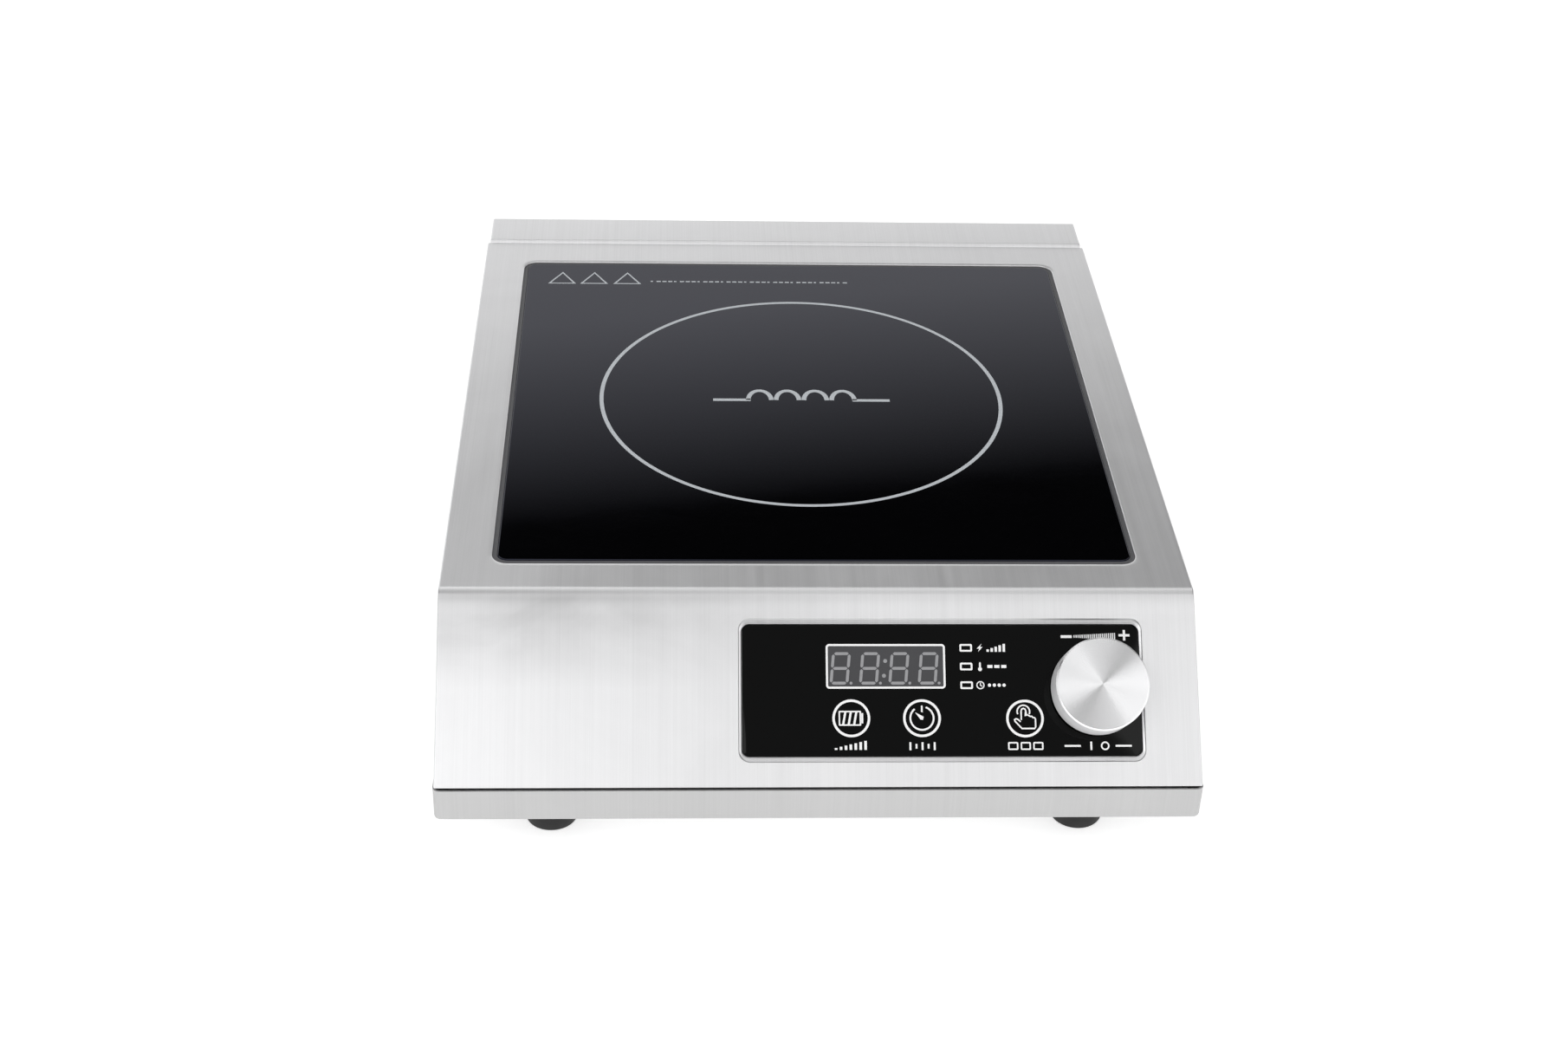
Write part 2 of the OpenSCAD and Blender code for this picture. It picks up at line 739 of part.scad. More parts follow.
module encoder_plunger() {
    socket_depth = 1.2;
    color("white") on_panel(knob_x, knob_s, plunger_top_n - plunger_t) difference() {
        cylinder(r = plunger_r, h = plunger_t);
        translate([0, 0, plunger_t - socket_depth]) cylinder(r = shaft_r + running, h = 5);
    }
}

module encoder_shaft() {
    color("silver") on_panel(knob_x, knob_s, shaft_low_n) difference() {
        cylinder(r = shaft_r, h = shaft_top_n - shaft_low_n);
        translate([-5, -flat_at - 5, hub_n - 0.6 - shaft_low_n]) cube([10, 5, 20]);
    }
}

module knob_insert() {
    web_t = 3;
    top = knob_top - cap_face - 0.1;
    outer = knob_d / 2 - cap_wall;
    color([0.15, 0.15, 0.15]) on_panel(knob_x, knob_s, hub_n) difference() {
        union() {
            cylinder(r = hub_r, h = top - hub_n);
            cylinder(r = outer, h = web_t);
            for (a = [0 : 60 : 300])
                rotate([0, 0, a]) translate([0, -0.8, 0]) cube([outer - 0.5, 1.6, top - hub_n]);
        }
        difference() {
            translate([0, 0, -eps]) cylinder(r = shaft_r + 0.02, h = shaft_top_n - hub_n + 0.3);
            translate([-5, -flat_at - 5.02, -1]) cube([10, 5, 20]);
        }
    }
}

module knob_cap() {
    r = knob_d / 2;
    bevel = 0.6;
    inner = r - cap_wall;
    color([0.85, 0.85, 0.86]) on_panel(knob_x, knob_s, 0) rotate_extrude($fn = 128)
        polygon([[0, knob_top - cap_face], [inner, knob_top - cap_face], [inner, knob_low],
                 [r - 0.3, knob_low], [r, knob_low + 0.3], [r, knob_top - bevel],
                 [r - bevel, knob_top], [0, knob_top]]);
}

// Coil

module mica_sheet() {
    color("khaki") translate([0, coil_y, mica_z]) ring(coil_outer_r + 8, sensor_r + 2, mica_t);
}

module insulation_pad() {
    color("white") translate([0, coil_y, pad_z]) ring(coil_outer_r + 2, sensor_r + 3, pad_t);
}

module coil_winding() {
    steps = 24;
    count = coil_turns * steps;
    path = [
        for (i = [0 : count])
            let (a = 360 * i / steps, r = coil_r + litz_pitch * i / steps)
            [r * cos(a), coil_y + r * sin(a), litz_z + litz_d / 2]
    ];
    color("peru") wire(path, litz_d / 2, 6, [0, 0, 1]);
}

module coil_former() {
    color([0.85, 0.83, 0.78]) translate([0, coil_y, former_z]) {
        ring(former_r, coil_hole_r, former_t);
        translate([0, 0, former_t - eps]) ring(former_r, former_r - 1.5, litz_d);
        translate([0, 0, former_t - eps]) ring(coil_r - 3, coil_r - 4.5, litz_d);
    }
}

module ferrite_bars() {
    inner_r = 30;
    length = 58;
    color([0.2, 0.2, 0.2]) translate([0, coil_y, ferrite_z]) for (i = [0 : ferrite_count - 1])
        rotate([0, 0, (i + 0.5) * 360 / ferrite_count])
            translate([inner_r, -7, 0]) cube([length, 14, ferrite_t]);
}

module coil_plate() {
    color("silver") difference() {
        translate([0, coil_y, plate_z]) rounded_plate(plate_w, plate_d, plate_t, 6);
        translate([0, coil_y, plate_z - 1]) cylinder(r = coil_hole_r, h = plate_t + 2);
        for (p = post_places)
            translate([p.x, p.y, plate_z - 1]) cylinder(r = 2.4, h = plate_t + 2);
        // the leads pass through a notch in the front edge
        translate([lead_x - 5, coil_y - plate_d / 2 - 1, plate_z - 1])
            cube([lead_pitch + 10, lead_notch_d + 1, plate_t + 2]);
    }
}

module coil_posts() {
    color("silver") for (p = post_places) translate([p.x, p.y, floor_z]) {
        cylinder(r = post_r + 1, h = post_h, $fn = 6);
        translate([0, 0, post_h - eps]) cylinder(r = 2, h = plate_z - floor_z - post_h + 5);
    }
}

module coil_springs() {
    low = floor_z + post_h;
    color("silver") for (p = post_places)
        translate([p.x, p.y, low]) helix(3.4, 3.4, plate_z - low, 5, 0.6);
}

// Two insulated leads from the coil down to the power board
module coil_leads() {
    r = 2.2;
    steps = 16;
    outer = coil_outer_r + 7;
    color("firebrick") for (k = [0, 1]) {
        x = lead_x + lead_pitch * k;
        start = [x, coil_y - sqrt(pow(outer, 2) - pow(x, 2)), former_z - 1];
        stop = [x, -40 + 10 * k, pcb_top + 8];
        path = [for (i = [0 : steps])
            bezier(start, start + [0, -16, -4], stop + [0, -6, 30], stop, i / steps)];
        wire(path, r, 10, [1, 0, 0]);
        translate([x, stop.y, pcb_top]) cylinder(r = 3.6, h = 7, $fn = 6);
    }
}

module thermal_sensor() {
    color("silver") translate([0, coil_y, former_z]) cylinder(r = 2.5, h = glass_z - former_z);
}

module sensor_holder() {
    color("tomato") translate([0, coil_y, ferrite_z]) difference() {
        union() {
            cylinder(r = sensor_r, h = glass_z - ferrite_z - 0.4);
            cylinder(r = coil_hole_r + 4, h = ferrite_t);
        }
        translate([0, 0, former_z - ferrite_z]) cylinder(r = 2.5, h = 20);
    }
}

// Power board

module power_board() {
    color("darkgreen") difference() {
        translate([0, pcb_y, pcb_z]) rounded_plate(pcb_w, pcb_d, pcb_t, 2);
        for (p = pcb_places) translate([p.x, p.y, pcb_z - 1]) cylinder(r = 1.6, h = pcb_t + 2);
    }
}

module power_standoffs() {
    color("goldenrod") for (p = pcb_places)
        translate([p.x, p.y, floor_z]) hex_standoff(3.2, pcb_lift, m3_r + 0.05);
}

module power_screws() {
    color("silver") for (p = pcb_places) translate([p.x, p.y, pcb_top]) pan_screw(m3_r, 6, 2.8, 2);
}

module heatsink() {
    fin_t = 1.8;
    pitch = (sink_w - fin_t) / (sink_fins - 1);
    color("silver") translate([sink_x - sink_w / 2, sink_y - sink_d / 2, sink_z]) {
        cube([sink_w, sink_d, sink_base]);
        for (i = [0 : sink_fins - 1])
            translate([i * pitch, 0, sink_base - eps]) cube([fin_t, sink_d, sink_h - sink_base]);
        for (x = [0, sink_w - 8])
            translate([x, sink_d / 2 - 4, pcb_top - sink_z]) cube([8, 8, sink_z - pcb_top + eps]);
    }
}

// A flat power package lying under the heatsink, with legs down to the board
module package(w, d, legs, pitch) {
    translate([-w / 2, -d / 2, 0]) cube([w, d, package_t]);
    for (i = [0 : legs - 1]) {
        x = (i - (legs - 1) / 2) * pitch;
        translate([x - 0.6, -d / 2 - 4, 2]) cube([1.2, 4 + eps, 0.8]);
        translate([x - 0.6, -d / 2 - 4, pcb_top - package_z]) cube([1.2, 0.8, package_z - pcb_top + 2.8]);
    }
}

module power_transistors() {
    color([0.12, 0.12, 0.12]) for (x = transistor_xs)
        translate([x, sink_y, package_z]) package(15.8, 21, 3, 5.4);
}

module bridge_rectifier() {
    color([0.1, 0.1, 0.1]) translate([bridge_x, sink_y, package_z]) package(30, 20, 4, 7.5);
}

module film_box(x, y, w, d, h) {
    translate([x - w / 2, y - d / 2, pcb_top]) cube([w, d, h]);
}

module power_capacitors() {
    color("royalblue") {
        film_box(-63, -30, 42, 20, 30);
        film_box(-66, -115, 42, 16, 28);
        film_box(-14, -32, 32, 14, 24);
        for (x = [-10, 4]) translate([x, -118, pcb_top]) cylinder(r = 5.5, h = 20);
    }
}

module filter_choke() {
    color("darkorange") translate([72, -105, pcb_top + 8]) rotate_extrude()
        translate([11.5, 0]) circle(r = 5.5);
    color("ivory") translate([72, -105, pcb_top]) cylinder(r = 12, h = 4);
}

module standby_transformer() {
    color("gold") translate([36, -120, pcb_top]) {
        translate([-9, -8, 0]) cube([18, 16, 4]);
        translate([-6, -6, 4 - eps]) cube([12, 12, 12]);
        translate([-8, -2.5, 4 - eps]) cube([16, 5, 14]);
    }
}

module mains_fuse() {
    color("lightgray") translate([26, -26, pcb_top]) {
        translate([0, 0, 6]) rotate([0, 90, 0]) cylinder(r = 2.6, h = 20, center = true);
        for (x = [-9, 9]) translate([x - 2, -3, 0]) cube([4, 6, 9]);
    }
}

// Fans

module fan_frame(x) {
    plate_h = 3;
    boss_h = 11;
    color([0.1, 0.1, 0.1]) translate([x, fan_y, floor_z]) {
        difference() {
            rounded_plate(fan_w, fan_w, fan_h, 3);
            translate([0, 0, -1]) cylinder(r = fan_r, h = fan_h + 2);
            for (i = [-1, 1], j = [-1, 1])
                translate([i * (fan_w / 2 - fan_screw_in), j * (fan_w / 2 - fan_screw_in), -1])
                    cylinder(r = m4_r + 0.3, h = fan_h + 2);
        }
        difference() {
            union() {
                cylinder(r = fan_hub_r, h = plate_h);
                for (a = [45 : 90 : 315])
                    rotate([0, 0, a]) translate([fan_hub_r - 2, -2, 0])
                        cube([fan_r - fan_hub_r + 2.6, 4, plate_h]);
                cylinder(r = 4, h = boss_h);
                translate([0, 0, plate_h - eps]) cylinder(r = 12, h = 6);
            }
            translate([0, 0, plate_h]) cylinder(r = spindle_r + running, h = boss_h);
        }
    }
}

module fan_rotor(x, turn) {
    low = 4.5;
    high = fan_h - 1;
    cup_wall = 1.5;
    pitch_angle = 35;
    chord = 24;
    color([0.13, 0.13, 0.14]) translate([x, fan_y, floor_z]) rotate([0, 0, turn]) {
        difference() {
            translate([0, 0, low]) cylinder(r = fan_hub_r, h = high - low);
            translate([0, 0, low - 1]) cylinder(r = fan_hub_r - cup_wall, h = high - low - 1);
        }
        translate([0, 0, low]) cylinder(r = spindle_r, h = high - low - 1);
        intersection() {
            translate([0, 0, low + 1]) ring(fan_r - fan_tip, fan_hub_r - 0.5, high - low - 2);
            for (i = [0 : fan_blades - 1])
                rotate([0, 0, i * 360 / fan_blades])
                    translate([fan_hub_r - 2, 0, (low + high) / 2])
                        rotate([pitch_angle, 0, 0]) translate([0, -chord / 2, -0.8]) cube([30, chord, 1.6]);
        }
    }
}

module fan_left_frame() { fan_frame(-fan_x); }
module fan_left_rotor() { fan_rotor(-fan_x, 10); }
module fan_right_frame() { fan_frame(fan_x); }
module fan_right_rotor() { fan_rotor(fan_x, 32); }

module fan_screws() {
    color("silver") for (side = [-1, 1], i = [-1, 1], j = [-1, 1])
        translate([side * fan_x + i * (fan_w / 2 - fan_screw_in),
                   fan_y + j * (fan_w / 2 - fan_screw_in), foot_h])
            mirror([0, 0, 1]) pan_screw(m4_r, 12, 3.8, 2.2);
}

base_tray();
top_cover();
rear_hood();
glass_plate();
glass_seal();
foot_front_left();
foot_front_right();
foot_rear_left();
foot_rear_right();
foot_screws();
foot_nuts();
casing_screws();
cable_gland();
gland_dome();
gland_nut();
wire_grommet();
terminal_block();
earth_stud();
control_fascia();
display_module();
indicator_leds();
touch_springs();
control_board();
control_chips();
panel_standoffs();
board_screws();
control_ribbon();
encoder_body();
encoder_nut();
encoder_plunger();
encoder_shaft();
knob_insert();
knob_cap();
mica_sheet();
insulation_pad();
coil_winding();
coil_former();
ferrite_bars();
coil_plate();
coil_posts();
coil_springs();
coil_leads();
thermal_sensor();
sensor_holder();
power_board();
power_standoffs();
power_screws();
heatsink();
power_transistors();
bridge_rectifier();
power_capacitors();
filter_choke();
standby_transformer();
mains_fuse();
fan_left_frame();
fan_left_rotor();
fan_right_frame();
fan_right_rotor();
fan_screws();
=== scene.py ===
import json
import math

import bmesh
import bpy
from mathutils import Matrix, Vector


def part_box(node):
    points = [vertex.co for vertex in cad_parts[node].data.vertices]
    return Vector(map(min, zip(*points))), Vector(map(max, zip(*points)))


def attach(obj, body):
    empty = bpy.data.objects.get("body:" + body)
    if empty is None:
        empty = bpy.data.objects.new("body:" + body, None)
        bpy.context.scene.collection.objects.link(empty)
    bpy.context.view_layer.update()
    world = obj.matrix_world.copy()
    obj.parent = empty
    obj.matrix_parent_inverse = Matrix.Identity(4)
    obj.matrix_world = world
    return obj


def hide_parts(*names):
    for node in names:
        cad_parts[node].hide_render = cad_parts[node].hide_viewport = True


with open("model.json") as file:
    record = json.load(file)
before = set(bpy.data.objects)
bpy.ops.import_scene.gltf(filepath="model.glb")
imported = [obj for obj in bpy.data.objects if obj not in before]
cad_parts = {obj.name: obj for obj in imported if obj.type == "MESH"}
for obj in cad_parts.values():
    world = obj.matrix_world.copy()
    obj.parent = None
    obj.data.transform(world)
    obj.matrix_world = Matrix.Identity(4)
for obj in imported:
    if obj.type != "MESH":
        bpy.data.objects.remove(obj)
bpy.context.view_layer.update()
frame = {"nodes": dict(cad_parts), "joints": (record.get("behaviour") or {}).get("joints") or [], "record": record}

# Every number below is in millimetres unless its name says otherwise; MM turns them into metres.
MM = 0.001
SHEET = 1.0       # thickness of the stainless sheet

# ---- the frame's own dimensions

record = frame["record"]
joints = {j["name"]: j for j in frame["joints"]}
press_axis = Vector(joints["knob_press"]["axis"])
panel_normal = -press_axis
knob_point = Vector(joints["knob_turn"]["pos_m"]) / MM


def box_mm(node):
    low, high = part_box(node)
    return low / MM, high / MM


tray_low, tray_high = box_mm("base_tray")
cover_low, cover_high = box_mm("top_cover")
hood_low, hood_high = box_mm("rear_hood")
glass_low, glass_high = box_mm("glass_plate")
seal_low, seal_high = box_mm("glass_seal")
fascia_low, fascia_high = box_mm("control_fascia")

deck_z = cover_high.z
slope = math.atan2(-panel_normal.y, panel_normal.z)
panel_down = Vector((0, -math.cos(slope), -math.sin(slope)))
cover_end_z = tray_high.z + SHEET
bend_y = cover_low.y + (deck_z - cover_end_z) / math.tan(slope)
bend = Vector((0, bend_y, deck_z))


def middle(node):
    low, high = box_mm(node)
    return (low + high) / 2


coil_y = middle("mica_sheet").y


def on_panel(x, s, n=0.0):
    """A point on the control panel: x to the right, s down the slope from the bend, n out of it."""
    return bend + Vector((x, 0, 0)) + panel_down * s + panel_normal * n


def panel_sn(point):
    """How far down the slope and how far out of the panel a point lies."""
    offset = point - bend
    return offset.dot(panel_down), offset.dot(panel_normal)


knob_x, knob_s = knob_point.x, panel_sn(knob_point)[0]
fascia_w = fascia_high.x - fascia_low.x
fascia_x = middle("control_fascia").x
fascia_t = 1.5      # thickness of the acrylic
recess = 2.2        # depth of the stamped recess that it lies in
fascia_top = fascia_t - recess
fascia_h = (fascia_high.y - fascia_low.y - fascia_t * math.sin(slope)) / math.cos(slope)
fascia_s = panel_sn(middle("control_fascia"))[0]

# ---- camera

CAM_AZIMUTH = math.radians(3.44)
CAM_ELEVATION = math.radians(33.30)
CAM_ROLL = math.radians(2.04)
CAM_DISTANCE = 988.4
CAM_LENS = 53.71
CAM_TARGET = bend + Vector((-16.2, 0, 36.0))


def add(name, data):
    """A new object in the scene."""
    obj = bpy.data.objects.new(name, data)
    bpy.context.scene.collection.objects.link(obj)
    return obj


def make_camera():
    forward = Vector((math.sin(CAM_AZIMUTH) * math.cos(CAM_ELEVATION),
                      math.cos(CAM_AZIMUTH) * math.cos(CAM_ELEVATION),
                      -math.sin(CAM_ELEVATION)))
    right = forward.cross(Vector((0, 0, 1))).normalized()
    up = right.cross(forward)
    rolled_right = right * math.cos(CAM_ROLL) + up * math.sin(CAM_ROLL)
    rolled_up = up * math.cos(CAM_ROLL) - right * math.sin(CAM_ROLL)
    data = bpy.data.cameras.new("camera")
    data.lens = CAM_LENS
    data.sensor_width = 36
    data.clip_start, data.clip_end = 0.05, 30
    data.dof.use_dof = False
    camera = add("camera", data)
    turn = Matrix((rolled_right, rolled_up, -forward)).transposed().to_4x4()
    camera.matrix_world = Matrix.Translation((CAM_TARGET - forward * CAM_DISTANCE) * MM) @ turn
    bpy.context.scene.camera = camera


make_camera()

# ---- mesh helpers


def rounded_rect(w, d, r, steps=8):
    """Corner-rounded rectangle round the origin, counter-clockwise, as (x, y) pairs."""
    r = max(min(r, w / 2 - 0.01, d / 2 - 0.01), 0.01)
    points = []
    for quarter, (sx, sy) in enumerate(((1, 1), (-1, 1), (-1, -1), (1, -1))):
        for i in range(steps + 1):
            a = math.radians(90 * quarter + 90 * i / steps)
            points.append((sx * (w / 2 - r) + r * math.cos(a), sy * (d / 2 - r) + r * math.sin(a)))
    return points


def circle(r, steps=48):
    return [(r * math.cos(2 * math.pi * i / steps), r * math.sin(2 * math.pi * i / steps))
            for i in range(steps)]


def shifted(points, x, y):
    return [(px + x, py + y) for px, py in points]


def flat(points, z, x=0.0, y=0.0):
    """(x, y) pairs laid out at height z."""
    return [Vector((px + x, py + y, z)) for px, py in points]


def on_slope(points, n, x=0.0, s=0.0):
    """(x, up-slope) pairs laid out on the control panel."""
    return [on_panel(px + x, s - py, n) for px, py in points]


def upright(points, y, x=0.0, z=0.0):
    """(x, z) pairs laid out on a wall at y."""
    return [Vector((px + x, y, pz + z)) for px, pz in points]


def grown(w, d, r, y, steps, least_r=0.0):
    """Level loops round (0, y): for each (g, z), a rounded rectangle grown by g, at height z."""
    return [flat(rounded_rect(w + 2 * g, d + 2 * g, max(r + g, least_r)), z, 0, y) for g, z in steps]


class Shell:
    """Collects faces of one piece, in millimetres, and turns them into a finished object."""

    def __init__(self):
        self.bm = bmesh.new()

    def ring(self, points):
        return [self.bm.verts.new(p) for p in points]

    def bridge(self, a, b, closed=True):
        """Quads between two rows of vertices."""
        count = len(a)
        for i in range(count if closed else count - 1):
            j = (i + 1) % count
            self.bm.faces.new((a[i], a[j], b[j], b[i]))

    def loops(self, rows, closed=True):
        """A stack of rows, bridged one to the next."""
        rings = [self.ring(row) for row in rows]
        for a, b in zip(rings, rings[1:]):
            self.bridge(a, b, closed)
        return rings

    def cap(self, ring):
        self.bm.faces.new(ring)

    def fill(self, outer, holes, normal):
        """A flat region inside outer, with holes left open. Takes rings of vertices."""
        edges = []
        for ring in [outer, *holes]:
            for i, v in enumerate(ring):
                w = ring[(i + 1) % len(ring)]
                edges.append(self.bm.edges.get((v, w)) or self.bm.edges.new((v, w)))
        bmesh.ops.triangle_fill(self.bm, use_beauty=True, use_dissolve=False, edges=edges, normal=normal)

    def block(self, low, high):
        """A plain closed box, for the tabs and flanges inside a sheet piece."""
        made = bmesh.ops.create_cube(self.bm, size=1)["verts"]
        centre, size = (Vector(low) + Vector(high)) / 2, Vector(high) - Vector(low)
        for v in made:
            v.co = Vector(c * s for c, s in zip(v.co, size)) + centre

    def lathe(self, profile, steps=96, centre=(0, 0)):
        """A (radius, z) outline turned round a vertical axis. Radius 0 closes on the axis."""
        rings = []
        for r, z in profile:
            if r < 1e-6:
                rings.append([self.bm.verts.new((centre[0], centre[1], z))])
            else:
                rings.append(self.ring(flat(circle(r, steps), z, *centre)))
        for a, b in zip(rings, rings[1:]):
            if len(a) == 1 or len(b) == 1:
                tip, rim = (a[0], b) if len(a) == 1 else (b[0], a)
                for i, v in enumerate(rim):
                    self.bm.faces.new((v, rim[(i + 1) % len(rim)], tip))
            else:
                self.bridge(a, b)
        return rings

    def object(self, name, material, outward=None, thick=0.0, bevel=0.0, sharp=40, matrix=None):
        """The finished object. outward is (point, direction): the face nearest that point looks along it.
        thick turns an open sheet into a wall on its inner side, and bevel softens its cut edges."""
        bm = self.bm
        bmesh.ops.remove_doubles(bm, verts=bm.verts, dist=0.002)
        bmesh.ops.dissolve_degenerate(bm, dist=0.001, edges=bm.edges)
        bmesh.ops.recalc_face_normals(bm, faces=bm.faces)
        if outward:
            point, direction = Vector(outward[0]), Vector(outward[1])
            nearest = min(bm.faces, key=lambda f: (f.calc_center_median() - point).length)
            if nearest.normal.dot(direction) < 0:
                bmesh.ops.reverse_faces(bm, faces=bm.faces)
        bmesh.ops.scale(bm, vec=(MM, MM, MM), verts=bm.verts)
        mesh = bpy.data.meshes.new(name)
        bm.to_mesh(mesh)
        bm.free()
        obj = add(name, mesh)
        if thick:
            wall = obj.modifiers.new("wall", "SOLIDIFY")
            wall.thickness = thick * MM
            wall.offset = -1
            wall.use_even_offset = True
        if bevel:
            soften = obj.modifiers.new("soften", "BEVEL")
            soften.width = bevel * MM
            soften.segments = 2
            soften.limit_method = "ANGLE"
            soften.angle_limit = math.radians(50)
            soften.use_clamp_overlap = True
        if thick or bevel:
            settle(obj)
        shade(obj.data, sharp)
        if matrix is not None:
            obj.matrix_world = matrix
        mesh = obj.data
        mesh.materials.clear()
        mesh.materials.append(material)
        return obj


def settle(obj):
    """Applies the modifiers to the mesh."""
    graph = bpy.context.evaluated_depsgraph_get()
    made = bpy.data.meshes.new_from_object(obj.evaluated_get(graph))
    obj.modifiers.clear()
    obj.data = made


def shade(mesh, sharp_degrees):
    """Smooth faces, with edges over the angle kept sharp and flat faces kept flat."""
    bm = bmesh.new()
    bm.from_mesh(mesh)
    limit = math.radians(sharp_degrees)
    for face in bm.faces:
        face.smooth = True
    for edge in bm.edges:
        edge.smooth = len(edge.link_faces) == 2 and edge.calc_face_angle(0) < limit
    bm.to_mesh(mesh)
    bm.free()


def keep_flat(obj):
    """Lets large flat faces keep their own normal next to a rounded edge."""
    weighted = obj.modifiers.new("flat_faces", "WEIGHTED_NORMAL")
    weighted.keep_sharp = True
    weighted.weight = 100


def place(obj, body, slot, *nodes):
    """The piece rides on a body and stands for CAD nodes, which are hidden. slot is not used."""
    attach(obj, body)
    if nodes:
        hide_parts(*nodes)
    return obj


# ---- materials


def srgb(value):
    return value / 12.92 if value <= 0.04045 else ((value + 0.055) / 1.055) ** 2.4


def map_range(nodes, links, value, low, high, out_low, out_high):
    """A value from low to high turned into one from out_low to out_high, and held there beyond."""
    node = nodes.new("ShaderNodeMapRange")
    for socket, number in (("From Min", low), ("From Max", high), ("To Min", out_low), ("To Max", out_high)):
        node.inputs[socket].default_value = number
    links.new(value, node.inputs["Value"])
    return node.outputs["Result"]


class Surface:
    """A Principled material with noise helpers, in object coordinates (metres)."""

    def __init__(self, name, color, rough, metal=0.0, **sockets):
        self.material = bpy.data.materials.new(name)
        self.material.use_nodes = True
        self.nodes = self.material.node_tree.nodes
        self.links = self.material.node_tree.links
        self.shader = self.nodes["Principled BSDF"]
        self.color = tuple(srgb(c) for c in color)
        self.set("Base Color", (*self.color, 1))
        self.set("Roughness", rough)
        self.set("Metallic", metal)
        for socket, value in sockets.items():
            self.set(socket.replace("_", " "), value)
        self.coords = self.nodes.new("ShaderNodeTexCoord").outputs["Object"]
        self.bump_out = None

    def set(self, socket, value):
        self.shader.inputs[socket].default_value = value

    def glow(self, strength):
        self.set("Emission Color", (1, 1, 1, 1))
        self.set("Emission Strength", strength)

    def split(self, vector):
        """The X, Y and Z of a vector."""
        node = self.nodes.new("ShaderNodeSeparateXYZ")
        self.links.new(vector, node.inputs["Vector"])
        return node.outputs

    def stretched(self, scale, source=None):
        """Coordinates scaled by a different amount along each axis, in cycles per metre."""
        mapping = self.nodes.new("ShaderNodeMapping")
        mapping.inputs["Scale"].default_value = scale
        self.links.new(source or self.coords, mapping.inputs["Vector"])
        return mapping.outputs["Vector"]

    def noise(self, scale, detail=4.0, rough=0.55, vector=None, warp=0.0):
        """A noise value from 0 to 1. scale is one number or one for each axis."""
        if isinstance(scale, (int, float)):
            scale = (scale,) * 3
        node = self.nodes.new("ShaderNodeTexNoise")
        for socket, value in (("Scale", 1), ("Detail", detail), ("Roughness", rough), ("Distortion", warp)):
            node.inputs[socket].default_value = value
        self.links.new(self.stretched(scale, vector), node.inputs["Vector"])
        return node.outputs["Fac"]

    def remap(self, value, low, high, out_low, out_high):
        return map_range(self.nodes, self.links, value, low, high, out_low, out_high)

    def math(self, operation, a, b):
        node = self.nodes.new("ShaderNodeMath")
        node.operation = operation
        for socket, value in zip(node.inputs, (a, b)):
            if isinstance(value, (int, float)):
                socket.default_value = value
            else:
                self.links.new(value, socket)
        return node.outputs["Value"]

    def blend(self, factor, a, b):
        """Two values or noise outputs mixed by a factor."""
        node = self.nodes.new("ShaderNodeMix")
        for socket, value in (("Factor", factor), ("A", a), ("B", b)):
            if isinstance(value, (int, float)):
                node.inputs[socket].default_value = value
            else:
                self.links.new(value, node.inputs[socket])
        return node.outputs["Result"]

    def tint(self, value, dark, light):
        """Base colour between dark and light multiples of the material's colour."""
        node = self.nodes.new("ShaderNodeValToRGB")
        ramp = node.color_ramp.elements
        ramp[0].position, ramp[1].position = 0.25, 0.75
        ramp[0].color = (*[c * dark for c in self.color], 1)
        ramp[1].color = (*[min(c * light, 1) for c in self.color], 1)
        self.links.new(value, node.inputs["Fac"])
        self.links.new(node.outputs["Color"], self.shader.inputs["Base Color"])

    def darken(self, value, amount):
        """Multiplies the base colour down by amount where value is 1."""
        node = self.nodes.new("ShaderNodeMix")
        node.data_type = "RGBA"
        node.blend_type = "MULTIPLY"
        base = self.shader.inputs["Base Color"].links[0].from_socket
        self.links.new(value, node.inputs["Factor"])
        self.links.new(base, node.inputs["A"])
        node.inputs["B"].default_value = (1 - amount, 1 - amount, 1 - amount, 1)
        self.links.new(node.outputs["Result"], self.shader.inputs["Base Color"])

    def roughen(self, value, low, high):
        self.links.new(self.remap(value, 0.25, 0.75, low, high), self.shader.inputs["Roughness"])

    def bump(self, value, height_mm, strength=1.0):
        node = self.nodes.new("ShaderNodeBump")
        node.inputs["Distance"].default_value = height_mm * MM
        node.inputs["Strength"].default_value = strength
        self.links.new(value, node.inputs["Height"])
        if self.bump_out:
            self.links.new(self.bump_out, node.inputs["Normal"])
        self.bump_out = node.outputs["Normal"]
        self.links.new(self.bump_out, self.shader.inputs["Normal"])


def facing(surface, axis):
    """How squarely a face looks along one of the object's own axes, from 0 to 1."""
    normal = surface.nodes.new("ShaderNodeTexCoord").outputs["Normal"]
    return surface.math("ABSOLUTE", surface.split(normal)[axis], 0.0)


BEND_SHADE_LOW = 66.0    # height at which the painted shade below the bend has faded out


def bend_painted_shade(surface):
    """Painted shade: a cloudy darkening on the slope just below the front bend, strongest at the bend and to the
    left.
    """
    x, y, z = surface.split(surface.coords)
    near = surface.remap(z, BEND_SHADE_LOW * MM, (deck_z - 1.5) * MM, 0.0, 1.0)
    ahead = surface.remap(y, (bend_y - 3) * MM, (bend_y + 1) * MM, 1.0, 0.0)
    patch = surface.remap(surface.noise((26.0, 34.0, 34.0), detail=5.0, warp=0.6), 0.35, 0.65, 0.55, 1.0)
    left = surface.remap(x, -0.13, 0.02, 1.0, 0.0)
    where = surface.math("MULTIPLY", near, ahead)
    return surface.math("MULTIPLY", where, surface.math("MULTIPLY", patch, left))


